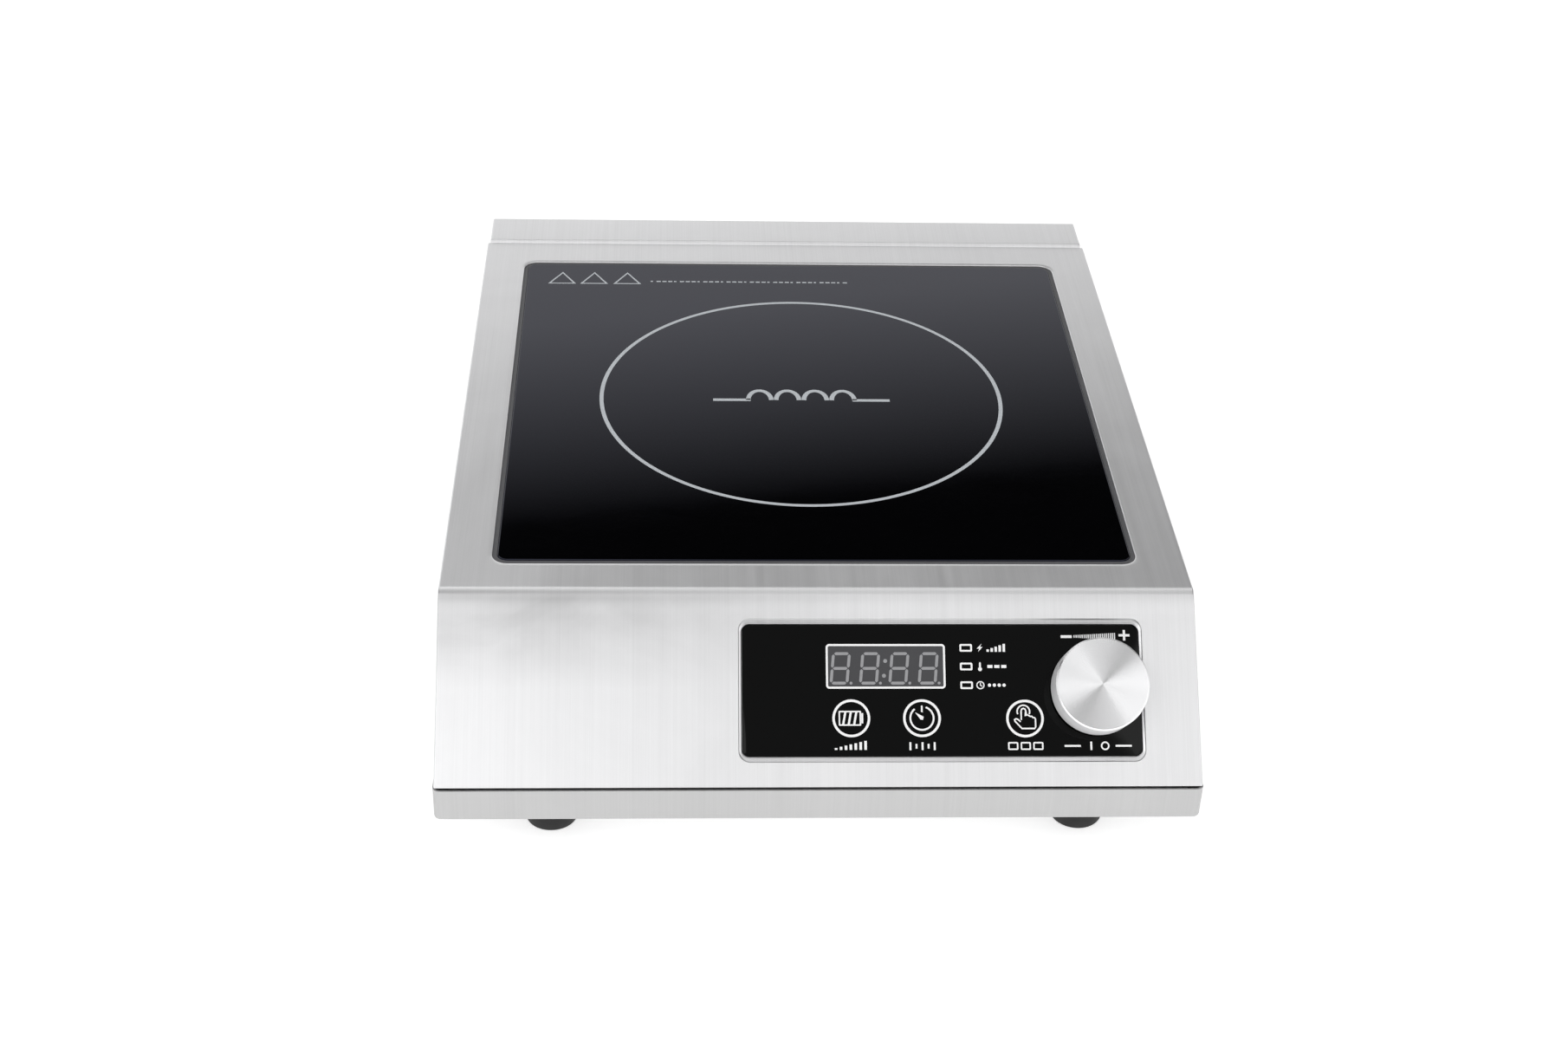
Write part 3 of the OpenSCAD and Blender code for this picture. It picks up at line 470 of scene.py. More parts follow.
def brushed_steel(name, color, rough=0.36, cloud=0.07, marks=0.0, upright_painted_shade=0.0):
    """Stainless sheet with a fine grain along its depth, upright on the sides.
    marks is how much the painted shade below the bend darkens the sheet, and the last number how much
    painted shade darkens its upright faces."""
    m = Surface(name, color, rough, metal=1.0, Anisotropic=0.6)
    fine, slow = 1900.0, 7.0
    sides = m.remap(facing(m, "X"), 0.6, 0.8, 0.0, 1.0)
    grain = m.noise((fine, slow, slow), detail=3.0, rough=0.75)
    side_grain = m.noise((slow, slow, fine), detail=3.0, rough=0.75)
    streaks = m.noise((fine / 6, slow / 3, slow / 3), detail=5.0, rough=0.7)
    lines = m.blend(sides, grain, side_grain)
    mixed = m.blend(0.45, lines, streaks)
    clouds = m.noise(11.0, detail=6.0, rough=0.62, warp=0.8)
    m.tint(m.blend(0.4, mixed, clouds), 1.0 - cloud * 1.8, 1.0 + cloud * 0.9)
    # painted shade below the front bend
    if marks:
        m.darken(bend_painted_shade(m), marks)
    # painted shade: upright faces are darkened
    if upright_painted_shade:
        m.darken(m.remap(facing(m, "Z"), 0.2, 0.35, 1.0, 0.0), upright_painted_shade)
    m.roughen(m.blend(0.3, mixed, clouds), rough - 0.05, rough + 0.07)
    m.bump(lines, 0.002, 0.55)
    m.bump(clouds, 0.05, 0.12)
    stretch = m.nodes.new("ShaderNodeCombineXYZ")
    m.links.new(m.math("SUBTRACT", 1.0, sides), stretch.inputs["X"])
    m.links.new(sides, stretch.inputs["Z"])
    m.links.new(stretch.outputs["Vector"], m.shader.inputs["Tangent"])
    return m.material


def moulded(name, color, rough=0.5, grain=900.0, height=0.012):
    """Moulded plastic or rubber with a fine pebble and soft colour drift."""
    m = Surface(name, color, rough)
    pebble = m.noise(grain, detail=3.0, rough=0.6)
    drift = m.noise(45.0, detail=4.0)
    m.tint(drift, 0.86, 1.14)
    m.roughen(drift, rough - 0.07, rough + 0.08)
    m.bump(pebble, height, 0.6)
    return m.material


def glossy(name, color, rough=0.06, smear=0.03, **sockets):
    """Polished plastic or glass with faint smears in its gloss."""
    m = Surface(name, color, rough, **sockets)
    smears = m.noise((24.0, 60.0, 24.0), detail=6.0, rough=0.65, warp=1.2)
    m.tint(m.noise(9.0, detail=3.0), 0.9, 1.1)
    m.roughen(smears, max(rough - smear, 0.01), rough + smear)
    m.bump(m.noise(30.0, detail=2.0), 0.004, 0.1)
    return m.material


def plated(name, color, rough=0.25):
    """Bright plated or drawn metal with fine scuffs."""
    m = Surface(name, color, rough, metal=1.0)
    scuffs = m.noise((1500.0, 1500.0, 220.0), detail=4.0, rough=0.7)
    m.tint(m.noise(120.0, detail=4.0), 0.9, 1.08)
    m.roughen(scuffs, rough - 0.07, rough + 0.12)
    m.bump(scuffs, 0.003, 0.5)
    return m.material


def spun_aluminium(name, color, rough=0.22):
    """A turned face: concentric tool marks round the object's own Z axis."""
    m = Surface(name, color, rough, metal=1.0, Anisotropic=0.9, Anisotropic_Rotation=0.25)
    tangent = m.nodes.new("ShaderNodeTangent")
    tangent.direction_type = "RADIAL"
    tangent.axis = "Z"
    m.links.new(tangent.outputs["Tangent"], m.shader.inputs["Tangent"])
    x, y, z = m.split(m.coords)
    radius = m.math("SQRT", m.math("ADD", m.math("MULTIPLY", x, x), m.math("MULTIPLY", y, y)), 0.0)
    join = m.nodes.new("ShaderNodeCombineXYZ")
    m.links.new(radius, join.inputs["X"])
    m.links.new(z, join.inputs["Y"])
    marks = m.noise((4200.0, 4200.0, 1.0), detail=3.0, rough=0.7, vector=join.outputs["Vector"])
    m.tint(m.blend(0.4, marks, m.noise(60.0)), 0.95, 1.03)
    m.roughen(marks, rough - 0.03, rough + 0.05)
    m.bump(marks, 0.0012, 0.5)
    return m.material


def satin_aluminium(name, color, rough=0.45):
    """Bead-blasted and anodised aluminium: soft, nearly matt, with a fine grain."""
    m = Surface(name, color, rough, metal=0.15)
    grit = m.noise(3200.0, detail=2.0)
    m.tint(m.noise(150.0, detail=4.0), 0.95, 1.03)
    m.roughen(grit, rough - 0.05, rough + 0.08)
    m.bump(grit, 0.004, 0.5)
    return m.material


def printed(name, color, rough=0.45, glow=0.0):
    """Screen-printed ink, slightly uneven in tone. glow makes the ink give off a faint even light of its own,
    painted light.
    """
    m = Surface(name, color, rough)
    m.tint(m.noise(700.0, detail=4.0), 0.93, 1.04)
    m.roughen(m.noise(300.0), rough - 0.05, rough + 0.08)
    m.bump(m.noise(2500.0), 0.002, 0.4)
    m.glow(glow)
    return m.material


def board(name, color):
    """Green circuit board with tracks under the varnish."""
    m = Surface(name, color, 0.35)
    tracks = m.noise((90.0, 260.0, 90.0), detail=2.0, rough=0.3)
    m.tint(tracks, 0.75, 1.35)
    m.roughen(tracks, 0.28, 0.42)
    m.bump(tracks, 0.03, 0.3)
    return m.material


# both stainless finishes darken their upright faces with painted shade
steel = brushed_steel("stainless", (0.953, 0.953, 0.957), upright_painted_shade=0.24)
# the cover's finish also has painted shade below the front bend
steel_cover = brushed_steel("stainless_cover", (0.953, 0.953, 0.957), marks=0.38, upright_painted_shade=0.24)
# the tray's stainless is given a darker base colour than the cover's: painted shade
steel_tray_painted_shade = brushed_steel("stainless_tray_painted_shade", (0.765, 0.765, 0.765))
glass = glossy("black_glass", (0.004, 0.004, 0.006), rough=0.05, smear=0.015, IOR=1.5,
               Specular_Tint=(0.58, 0.61, 0.92, 1))
seal_black = moulded("silicone_joint", (0.36, 0.36, 0.37), rough=0.5)
rubber = moulded("foot_rubber", (0.09, 0.09, 0.09), rough=0.62, height=0.02)
nylon = moulded("nylon", (0.12, 0.12, 0.12), rough=0.45)
fascia_black = glossy("fascia_acrylic", (0.012, 0.014, 0.014), rough=0.04, smear=0.012, IOR=1.49,
                      Specular_IOR_Level=0.16)
# the white ink gives off light of its own: painted light
ink_white_painted_glow = printed("ink_white_painted_glow", (0.99, 0.99, 0.99), glow=0.16)
ink_grey = printed("ink_grey", (0.83, 0.85, 0.87))
window_grey = glossy("display_window", (0.30, 0.30, 0.31), rough=0.12)
segment_grey = printed("display_segments", (0.66, 0.66, 0.67), rough=0.3)
knob_metal = spun_aluminium("turned_aluminium", (0.97, 0.97, 0.975))
knob_side = satin_aluminium("satin_aluminium", (0.95, 0.95, 0.955))

BY_SLOT = {"stainless": steel, "black_glass": glass, "silicone": seal_black, "foot_rubber": rubber,
           "nylon": nylon, "fascia_acrylic": fascia_black, "turned_aluminium": knob_metal,
           "circuit_board": board("circuit_board", (0.05, 0.3, 0.14)),
           "component_blue": glossy("component_blue", (0.12, 0.25, 0.6), rough=0.2, smear=0.05)}
for slot, color, rough, *rest in (
        ("display_plastic", (0.25, 0.25, 0.26), 0.5),
        ("led_plastic", (0.85, 0.85, 0.83), 0.35),
        ("component_black", (0.13, 0.13, 0.14), 0.55),
        ("component_yellow", (0.85, 0.7, 0.2), 0.5),
        ("ceramic_white", (0.88, 0.87, 0.83), 0.5),
        ("ribbon_grey", (0.55, 0.55, 0.56), 0.5),
        ("lead_silicone", (0.5, 0.08, 0.05), 0.55),
        ("ferrite", (0.18, 0.18, 0.18), 0.6, 900.0, 0.03),
        ("mica", (0.76, 0.7, 0.52), 0.35, 900.0, 0.03),
        ("ceramic_felt", (0.9, 0.89, 0.86), 0.95, 1600.0, 0.08),
        ("former_resin", (0.8, 0.77, 0.7), 0.55)):
    BY_SLOT[slot] = moulded(slot, color, rough, *rest)
for slot, color, rough in (
        ("zinc_steel", (0.78, 0.78, 0.79), 0.3),
        ("plain_aluminium", (0.8, 0.8, 0.81), 0.4),
        ("litz_copper", (0.75, 0.42, 0.24), 0.45),
        ("brass_parts", (0.85, 0.68, 0.35), 0.3),
        ("spring_steel", (0.8, 0.8, 0.81), 0.2)):
    BY_SLOT[slot] = plated(slot, color, rough)


def dress_cad_nodes():
    """Every CAD node takes the material of its slot."""
    for part in record["subparts"]:
        mesh = frame["nodes"][part["node"]].data
        mesh.materials.clear()
        mesh.materials.append(BY_SLOT[part["material_slot"]])


dress_cad_nodes()

# ---- folded sheet pieces


def arc(centre, r, start, stop, steps):
    """Points of an arc in (y, z), angles in degrees from +Y towards +Z."""
    return [(centre[0] + r * math.cos(math.radians(start + (stop - start) * i / steps)),
             centre[1] + r * math.sin(math.radians(start + (stop - start) * i / steps)))
            for i in range(steps + 1)]


def folded_sheet(shell, profile, half_w, edge_r, flats, side_low=()):
    """A sheet bent along X, with both ends turned down round edge_r.
    profile(inset) gives the (y, z) points of the bent section, set in by inset.
    flats maps a segment's index to the rings of its holes; side_low adds points that close the ends."""
    steps = 5
    columns = {}
    for side in (-1, 1):
        columns[side] = []
        for j in range(steps + 1):
            theta = math.radians(90 * j / steps)
            x = side * (half_w - edge_r + edge_r * math.sin(theta))
            row = profile(edge_r * (1 - math.cos(theta)))
            columns[side].append(shell.ring(Vector((x, y, z)) for y, z in row))
        for a, b in zip(columns[side], columns[side][1:]):
            shell.bridge(a, b, closed=False)
        closing = shell.ring(Vector((side * half_w, y, z)) for y, z in side_low)
        shell.cap(columns[side][-1] + closing)
    left, right = columns[-1][0], columns[1][0]
    for i in range(len(left) - 1):
        corners = [left[i], left[i + 1], right[i + 1], right[i]]
        if i in flats:
            across = (right[i].co - left[i].co).cross(left[i + 1].co - left[i].co)
            shell.fill(corners, flats[i], across.normalized())
        else:
            shell.bm.faces.new(corners)


OPENING_W = seal_high.x - seal_low.x
OPENING_D = seal_high.y - seal_low.y
OPENING_Y = (seal_high.y + seal_low.y) / 2
OPENING_R = 7.0
LEDGE_Z = seal_low.z
BEND_R = 6.5                        # bend between the deck and the panel
EDGE_R = 0.9                        # folds down the left and right sides
BACK_R = 0.3                        # fold at the deck's back edge
EASE_ANGLE, EASE_RUN = 5.0, 11.5    # the bend's last degrees, and how far down the panel they run out
DECK_FLAT, PANEL_FLAT = 6, 22       # segments of cover_profile that carry the two openings
TAB_Y = (-140, 0, 140)              # screw tabs along each side
CUT_EDGE = 0.18                     # softening of the sheets' cut edges
DISPLAY_HOLE, LED_HOLE = (51.1, 19.8), (6, 3.6)
KEY_HOLE_R, BUSHING_HOLE_R = 7.4, 3.55


def lip_rings(shell):
    """The rounded lip of the glass opening, its wall and the ledge below. Returns the deck's ring."""
    drop = deck_z - LEDGE_Z
    steps = [(2.0, 0), (1.6, 0.02), (0.7, 0.09), (0.35, 0.15), (0.13, 0.27), (0.02, 0.45), (0, 0.7),
             (0, drop - 0.5), (-0.12, drop - 0.15), (-0.5, drop), (-12, drop)]
    steps = [(g, deck_z - down) for g, down in steps]
    return shell.loops(grown(OPENING_W, OPENING_D, OPENING_R, OPENING_Y, steps, least_r=5))[0]


def recess_rings(shell):
    """The fascia's stamped recess with its floor. Returns the panel's ring."""
    play, side, wall, corner = 0.2, 1.0, 1.7, 3.4
    steps = [(1.42, 0), (1.35, -0.04), (1.25, -0.25), (1.13, -0.5), (0.98, -0.62), (0.6, -0.73),
             (0.26, -0.87), (0.06, -1.05), (0, -1.35), (0, -recess)]
    rows = [on_slope(rounded_rect(fascia_w + 2 * (play + side * f), fascia_h + 2 * (play + wall * f),
                                  corner + play + side * f), n, fascia_x, fascia_s) for f, n in steps]
    rings = shell.loops(rows)
    outlines = [(rounded_rect(*DISPLAY_HOLE, 0.5, 2), DISPLAY_X, DISPLAY_S)]
    outlines += [(rounded_rect(*LED_HOLE, 0.5, 2), LED_X, s) for s in LED_S]
    outlines += [(circle(KEY_HOLE_R, 32), x, s) for x, s in KEYS]
    outlines.append((circle(BUSHING_HOLE_R, 24), knob_x, knob_s))
    holes = [shell.ring(on_slope(outline, -recess, x, s)) for outline, x, s in outlines]
    shell.fill(rings[-1], holes, panel_normal)
    return rings[0]


def ease_out(start, end_angle, inset):
    """The last degrees of the bend, spread along a curve that ends on the flat panel."""
    count = 5
    start = Vector(start)
    end = on_panel(0, EASE_RUN, -inset).yz
    leaving, arriving = (math.radians(angle + 90) for angle in (end_angle - EASE_ANGLE, end_angle))
    reach = (end - start).length / 3
    handle_a = start + Vector((math.cos(leaving), math.sin(leaving))) * reach
    handle_b = end - Vector((math.cos(arriving), math.sin(arriving))) * reach
    points = []
    for i in range(1, count + 1):
        t = i / count
        spot = (start * (1 - t) ** 3 + handle_a * 3 * t * (1 - t) ** 2
                + handle_b * 3 * t * t * (1 - t) + end * t ** 3)
        points.append(tuple(spot))
    return points


def cover_profile(inset):
    """Back wall, back edge, deck, bend and sloped panel, from the back down to the front."""
    back = cover_high.y - inset
    top = deck_z - inset
    edge_r = max(BACK_R - inset, 0)
    bend_r = BEND_R - inset
    corner_y = bend_y + inset * math.tan(slope / 2)
    trim = bend_r * math.tan(slope / 2)
    run = (top - cover_end_z) / math.tan(slope)
    degrees = math.degrees(slope)
    points = [(back, cover_end_z)]
    points += arc((back - edge_r, top - edge_r), edge_r, 0, 90, 5)
    points += arc((corner_y + trim, top - bend_r), bend_r, 90, 90 + degrees - EASE_ANGLE, 10)
    points += ease_out(points[-1], 90 + degrees, inset)
    points.append((corner_y - run, cover_end_z))
    return points


def make_cover():
    shell = Shell()
    lip = lip_rings(shell)
    rim = recess_rings(shell)
    folded_sheet(shell, cover_profile, cover_high.x, EDGE_R, {DECK_FLAT: [lip], PANEL_FLAT: [rim]})
    cover = shell.object("cover_sheet", steel_cover, outward=((150, 0, deck_z), (0, 0, 1)),
                         thick=SHEET, bevel=CUT_EDGE)
    keep_flat(cover)
    place(cover, "root", "stainless", "top_cover")
    # tabs that the casing screws hold to the tray, and flanges along the front and the back
    tabs = Shell()
    wall_x, reach = cover_high.x - 2 * SHEET - 0.2, 13
    for side in (-1, 1):
        for y in TAB_Y:
            for low, high in (((wall_x, tray_low.z + 1), (wall_x + 1, cover_end_z + 8)),
                              ((wall_x - reach + 1, tray_low.z + 1), (wall_x + 0.5, tray_low.z + 2))):
                xs = sorted((side * low[0], side * high[0]))
                tabs.block((xs[0], y - 12, low[1]), (xs[1], y + 12, high[1]))
    tabs.block((-155, cover_low.y + 1, tray_low.z + 1), (155, cover_low.y + 2, cover_end_z + 1))
    tabs.block((-155, cover_high.y - 1, tray_low.z + 2), (155, cover_high.y, cover_end_z + 1))
    inner = tabs.object("cover_tabs", steel, bevel=0.15)
    place(inner, "root", "stainless")


# ---- rear hood

HOOD_BACK = tray_high.y - SHEET
HOOD_FRONT = cover_high.y + 0.12
HOOD_SCREW_X = (-140, -50, 50, 140)
LOUVRE_W, LOUVRE_H = 44.0, 4.6
LOUVRES = [(i * 56.0, 46.0 + k * 13.0) for i in (-1, 0, 1, 2) for k in (0, 1, 2)]
GLAND_X, GLAND_Z, GLAND_HOLE_R = -125.0, 60.0, 8.2


def hood_profile(inset):
    """Back wall, rounded back edge, top and the chamfered front edge, from the back down to the front."""
    front, back, top = HOOD_FRONT + inset, HOOD_BACK - inset, hood_high.z - inset
    back_r = max(2.0 - inset, 0)
    chamfer = ((1.9, 0), (1.5, 0.05), (1.2, 0.22), (0.34, 1.36), (0.12, 1.65), (0, 2.1))
    points = [(back, tray_low.z + 1)]
    points += arc((back - back_r, top - back_r), back_r, 0, 90, 5)
    points += [(front + y, top - down) for y, down in chamfer]
    points.append((front, hood_high.z - 7))
    return points


def louvre_scoop(shell, x, z):
    """A pressed scoop over one slot: closed above and at both ends, open below."""
    across, down = 16, 6
    half_w, height, depth, above = LOUVRE_W / 2 + 1.5, 8.0, 3.4, 5.6
    rows = []
    for j in range(down + 1):
        v = j / down
        row = []
        for i in range(across + 1):
            u = -1 + 2 * i / across
            out = depth * max(1 - abs(u) ** 6, 0) * math.sin(v * math.pi / 2)
            row.append(Vector((x + u * half_w, HOOD_BACK + out - 0.02, z + above - v * height)))
        rows.append(row)
    shell.loops(rows, closed=False)


def make_hood():
    shell = Shell()
    holes = [shell.ring(upright(rounded_rect(LOUVRE_W, LOUVRE_H, 2, 4), HOOD_BACK, x, z)) for x, z in LOUVRES]
    holes.append(shell.ring(upright(circle(GLAND_HOLE_R, 32), HOOD_BACK, GLAND_X, GLAND_Z)))
    folded_sheet(shell, hood_profile, hood_high.x, 1.1, {0: holes},
                 side_low=[(HOOD_FRONT, tray_low.z + 1)])
    hood = shell.object("hood_sheet", steel, outward=((0, hood_low.y + 13, hood_high.z), (0, 0, 1)),
                        thick=SHEET, bevel=CUT_EDGE)
    keep_flat(hood)
    place(hood, "root", "stainless", "rear_hood")
    scoops = Shell()
    for x, z in LOUVRES:
        louvre_scoop(scoops, x, z)
    x, z = LOUVRES[0]
    louvres = scoops.object("hood_louvres", steel, outward=((x, HOOD_BACK + 4, z), (0, 1, 0)),
                            thick=0.8, bevel=0.1)
    place(louvres, "root", "stainless")
    foot = Shell()
    foot.block((-hood_high.x + 1, HOOD_BACK - 14, tray_low.z + 1),
               (hood_high.x - 1, HOOD_BACK - 0.5, tray_low.z + 2))
    place(foot.object("hood_foot", steel, bevel=0.15), "root", "stainless")


# ---- base tray

FAN_X, FAN_W = 62.0, 80.0
FAN_Y = middle("fan_left_frame").y
GRILLE_R, GRILLE_PITCH, GRILLE_SLOT = 37.5, 8, 4.4
FOOT_SCREW_R, CASE_SCREW_R = 2.7, 2.1
FOOT_NAMES = ("front_left", "front_right", "rear_left", "rear_right")
FOOT_PLACES = [tuple(middle("foot_" + name).xy) for name in FOOT_NAMES]


def screw_holes():
    """Middles of the clearance holes in the tray's floor and their radii."""
    tab_x = cover_high.x - SHEET - 0.2 - 7
    holes = [(x, y, FOOT_SCREW_R) for x, y in FOOT_PLACES]
    holes += [(side * tab_x, y, CASE_SCREW_R) for side in (-1, 1) for y in TAB_Y]
    holes += [(x, HOOD_BACK - 7, CASE_SCREW_R) for x in HOOD_SCREW_X]
    reach = FAN_W / 2 - 4.2
    holes += [(side * FAN_X + i * reach, FAN_Y + j * reach, CASE_SCREW_R)
              for side in (-1, 1) for i in (-1, 1) for j in (-1, 1)]
    return holes


def make_tray():
    shell = Shell()
    width, depth = tray_high.x - tray_low.x, tray_high.y - tray_low.y
    floor_z, fold_r, corner_r = tray_low.z, 1.0, 3.2
    steps = [(0, tray_high.z)]
    steps += [(y - fold_r, z) for y, z in arc((0, floor_z + fold_r), fold_r, 0, -90, 5)]
    rings = shell.loops(grown(width, depth, corner_r, middle("base_tray").y, steps))
    holes = [shell.ring(flat(circle(hole_r, 20), floor_z, x, y)) for x, y, hole_r in screw_holes()]
    for side in (-1, 1):
        for i in range(-4, 5):
            half = math.sqrt(GRILLE_R ** 2 - (i * GRILLE_PITCH) ** 2) - 2
            slot = rounded_rect(2 * half, GRILLE_SLOT, 2.19, 4)
            holes.append(shell.ring(flat(slot, floor_z, side * FAN_X, FAN_Y + i * GRILLE_PITCH)))
    shell.fill(rings[-1], holes, (0, 0, -1))
    tray = shell.object("tray_sheet", steel_tray_painted_shade, outward=((0, tray_low.y, 28), (0, -1, 0)),
                        thick=SHEET, bevel=CUT_EDGE)
    keep_flat(tray)
    place(tray, "root", "stainless", "base_tray")


# ---- glass, seal, feet

GLASS_R = 4.8
RING_R = 97.6


def make_glass():
    w, d = glass_high.x - glass_low.x, glass_high.y - glass_low.y
    top, low = glass_high.z, glass_low.z
    steps = [(-0.3, low), (0, low + 0.3), (0, top - 0.7), (-0.1, top - 0.32), (-0.32, top - 0.1), (-0.7, top)]
    shell = Shell()
    rings = shell.loops(grown(w, d, GLASS_R, middle("glass_plate").y, steps))
    shell.cap(rings[0])
    shell.cap(rings[-1])
    plate = shell.object("glass_top", glass, sharp=60)
    keep_flat(plate)
    place(plate, "root", "black_glass", "glass_plate")


def make_seal():
    """Silicone joint, wiped slightly hollow between the glass and the opening."""
    low, top = seal_low.z, seal_high.z
    steps = [(-0.06, low + 0.02), (-0.06, top - 0.42), (-0.5, top - 0.6), (-1.1, top - 0.66),
             (-1.7, top - 0.5), (-2.14, top - 0.1), (-2.14, low + 0.55), (-10.5, low + 0.55),
             (-10.5, low + 0.02)]
    shell = Shell()
    rings = shell.loops(grown(OPENING_W, OPENING_D, OPENING_R, OPENING_Y, steps, least_r=4.6))
    shell.bridge(rings[-1], rings[0])
    joint = shell.object("silicone_joint", seal_black, sharp=60)
    place(joint, "root", "silicone", "glass_seal")


def make_feet():
    """Moulded rubber feet with a counterbore for the screw and a collar under the tray."""
    r, top_r, height = 11.5, 13.0, tray_low.z
    bore_r, head_r, head_depth = 2.65, 5.5, 8.0
    outline = [(bore_r, height), (bore_r, head_depth), (head_r - 0.3, head_depth),
               (head_r, head_depth - 0.3), (head_r, 0.5), (head_r + 0.4, 0.0), (r - 1.2, 0), (r - 0.4, 0.25),
               (r, 1.1)]
    outline += [(r + (top_r - 0.6 - r) * t, 1.1 + (height - 4.6) * t) for t in (0.25, 0.5, 0.75, 1.0)]
    outline += [(top_r - 0.75, height - 3.2), (top_r - 0.2, height - 2.7), (top_r, height - 2.2),
                (top_r, height - 0.3), (top_r - 0.3, height), (bore_r, height)]
    for name, centre in zip(FOOT_NAMES, FOOT_PLACES):
        shell = Shell()
        shell.lathe(outline, 64, centre)
        foot = shell.object("rubber_foot_" + name, rubber, sharp=50)
        place(foot, "root", "foot_rubber", "foot_" + name)


# ---- fascia and its print

# middles on the panel, as x and the way down the slope from the bend
DISPLAY_X, DISPLAY_S = 28.3, 33.2
LED_X = 63.05
LED_S = (25.2, 33.3, 41.4)
KEYS = ((13.2, 55.6), (43.5, 55.6), (87.8, 55.8))
INK_T = 0.02        # half the thickness of a printed layer
INK_LIFT = 0.012    # its middle above the surface


def make_fascia():
    low, top = -recess, fascia_top
    hole_r, corner_r = 6.5, 3.2
    steps = [(-0.15, low), (0, low + 0.15), (0, top - 0.3), (-0.09, top - 0.09), (-0.3, top)]
    shell = Shell()
    rings = shell.loops([on_slope(rounded_rect(fascia_w + 2 * g, fascia_h + 2 * g, corner_r + g), n,
                                  fascia_x, fascia_s) for g, n in steps])
    bore = shell.loops([on_slope(circle(hole_r, 48), n, knob_x, knob_s) for n in (low, top)])
    shell.fill(rings[0], [bore[0]], -panel_normal)
    shell.fill(rings[-1], [bore[1]], panel_normal)
    plate = shell.object("fascia_plate", fascia_black, sharp=60)
    keep_flat(plate)
    place(plate, "root", "fascia_acrylic", "control_fascia")


class Print:
    """Flat shapes in a plane, gathered as one thin printed piece."""

    def __init__(self, to_point, height, normal):
        self.shell = Shell()
        self.to_point, self.height, self.normal = to_point, height, normal

    def area(self, outline, holes=()):
        """outline and holes are (x, down) pairs."""
        low, high = self.height - INK_T, self.height + INK_T
        loops = [outline, *holes]
        bottoms = [self.shell.ring([self.to_point(x, y, low) for x, y in loop]) for loop in loops]
        tops = [self.shell.ring([self.to_point(x, y, high) for x, y in loop]) for loop in loops]
        for a, b in zip(bottoms, tops):
            self.shell.bridge(a, b)
        self.shell.fill(bottoms[0], bottoms[1:], -self.normal)
        self.shell.fill(tops[0], tops[1:], self.normal)

    def bar(self, x0, y0, x1, y1):
        self.area([(x0, y0), (x1, y0), (x1, y1), (x0, y1)])

    def frame(self, x, y, w, h, r, line):
        inner = rounded_rect(w - 2 * line, h - 2 * line, max(r - line, 0.1))
        self.area(shifted(rounded_rect(w, h, r), x, y), [shifted(inner, x, y)])

    def ring(self, x, y, r, line, steps=96):
        self.area(shifted(circle(r, steps), x, y), [shifted(circle(r - line, steps), x, y)])

    def disc(self, x, y, r):
        self.area(shifted(circle(r, 24), x, y))

    def stroke(self, points, line):
        """A line of even width through points, with square ends."""
        left, right = [], []
        for i, (x, y) in enumerate(points):
            ax, ay = points[max(i - 1, 0)]
            bx, by = points[min(i + 1, len(points) - 1)]
            length = math.hypot(bx - ax, by - ay)
            nx, ny = -(by - ay) / length * line / 2, (bx - ax) / length * line / 2
            if 0 < i < len(points) - 1:
                d0 = Vector((x - ax, y - ay)).normalized()
                d1 = Vector((bx - x, by - y)).normalized()
                widen = 1 / max(math.cos(math.acos(max(-1, min(1, d0.dot(d1)))) / 2), 0.5)
                nx, ny = nx * widen, ny * widen
            left.append((x + nx, y + ny))
            right.append((x - nx, y - ny))
        self.area(left + right[::-1])

    def arc(self, x, y, r, start, stop, line, steps=28):
        """An arc stroke; angles in degrees, clockwise from straight up."""
        points = []
        for i in range(steps + 1):
            a = math.radians(start + (stop - start) * i / steps)
            points.append((x + r * math.sin(a), y - r * math.cos(a)))
        self.stroke(points, line)

    def finish(self, name, material, slot):
        piece = self.shell.object(name, material, sharp=30)
        return place(piece, "root", slot)


def panel_print():
    return Print(on_panel, fascia_top + INK_LIFT, panel_normal)


def deck_print():
    return Print(lambda x, y, z: Vector((x, y, z)), glass_high.z + INK_LIFT, Vector((0, 0, 1)))


def digit(ink, x, s):
    """One unlit seven-segment digit; x, s is its upper left corner at the slanted stem."""
    w, h, t, gap = 8.1, 14.0, 1.25, 0.28
    lean = 0.093

    def at(px, ps):
        return x + px - ps * lean, s + ps

    for level in (0, 1, 2):
        mid = t / 2 + (h - t) * level / 2
        left, right = t / 2 + gap, w - t / 2 - gap
        shape = [(left, mid), (left + t / 2, mid - t / 2), (right - t / 2, mid - t / 2), (right, mid),
                 (right - t / 2, mid + t / 2), (left + t / 2, mid + t / 2)]
        ink.area([at(*p) for p in shape])
    for column in (t / 2, w - t / 2):
        for row in (0, 1):
            top = t / 2 + gap + (h - t) / 2 * row
            low = t / 2 - gap + (h - t) / 2 * (row + 1)
            shape = [(column, top), (column + t / 2, top + t / 2), (column + t / 2, low - t / 2),
                     (column, low), (column - t / 2, low - t / 2), (column - t / 2, top + t / 2)]
            ink.area([at(*p) for p in shape])
    ink.disc(*at(w + 1.1, h - t / 2), 0.62)


def make_display():
    window = panel_print()
    window.height -= INK_T * 0.5
    window.area(shifted(rounded_rect(50.2, 18.1, 0.8), DISPLAY_X, DISPLAY_S))
    window.finish("display_window", window_grey, "display_plastic")
    digits = panel_print()
    digits.height += INK_T
    for i in range(4):
        digit(digits, 5.35 + 12.63 * i, 27.1)
    digits.disc(28.15, 30.9, 0.85)
    digits.disc(27.5, 37.3, 0.85)
    digits.finish("display_segments", segment_grey, "led_plastic")


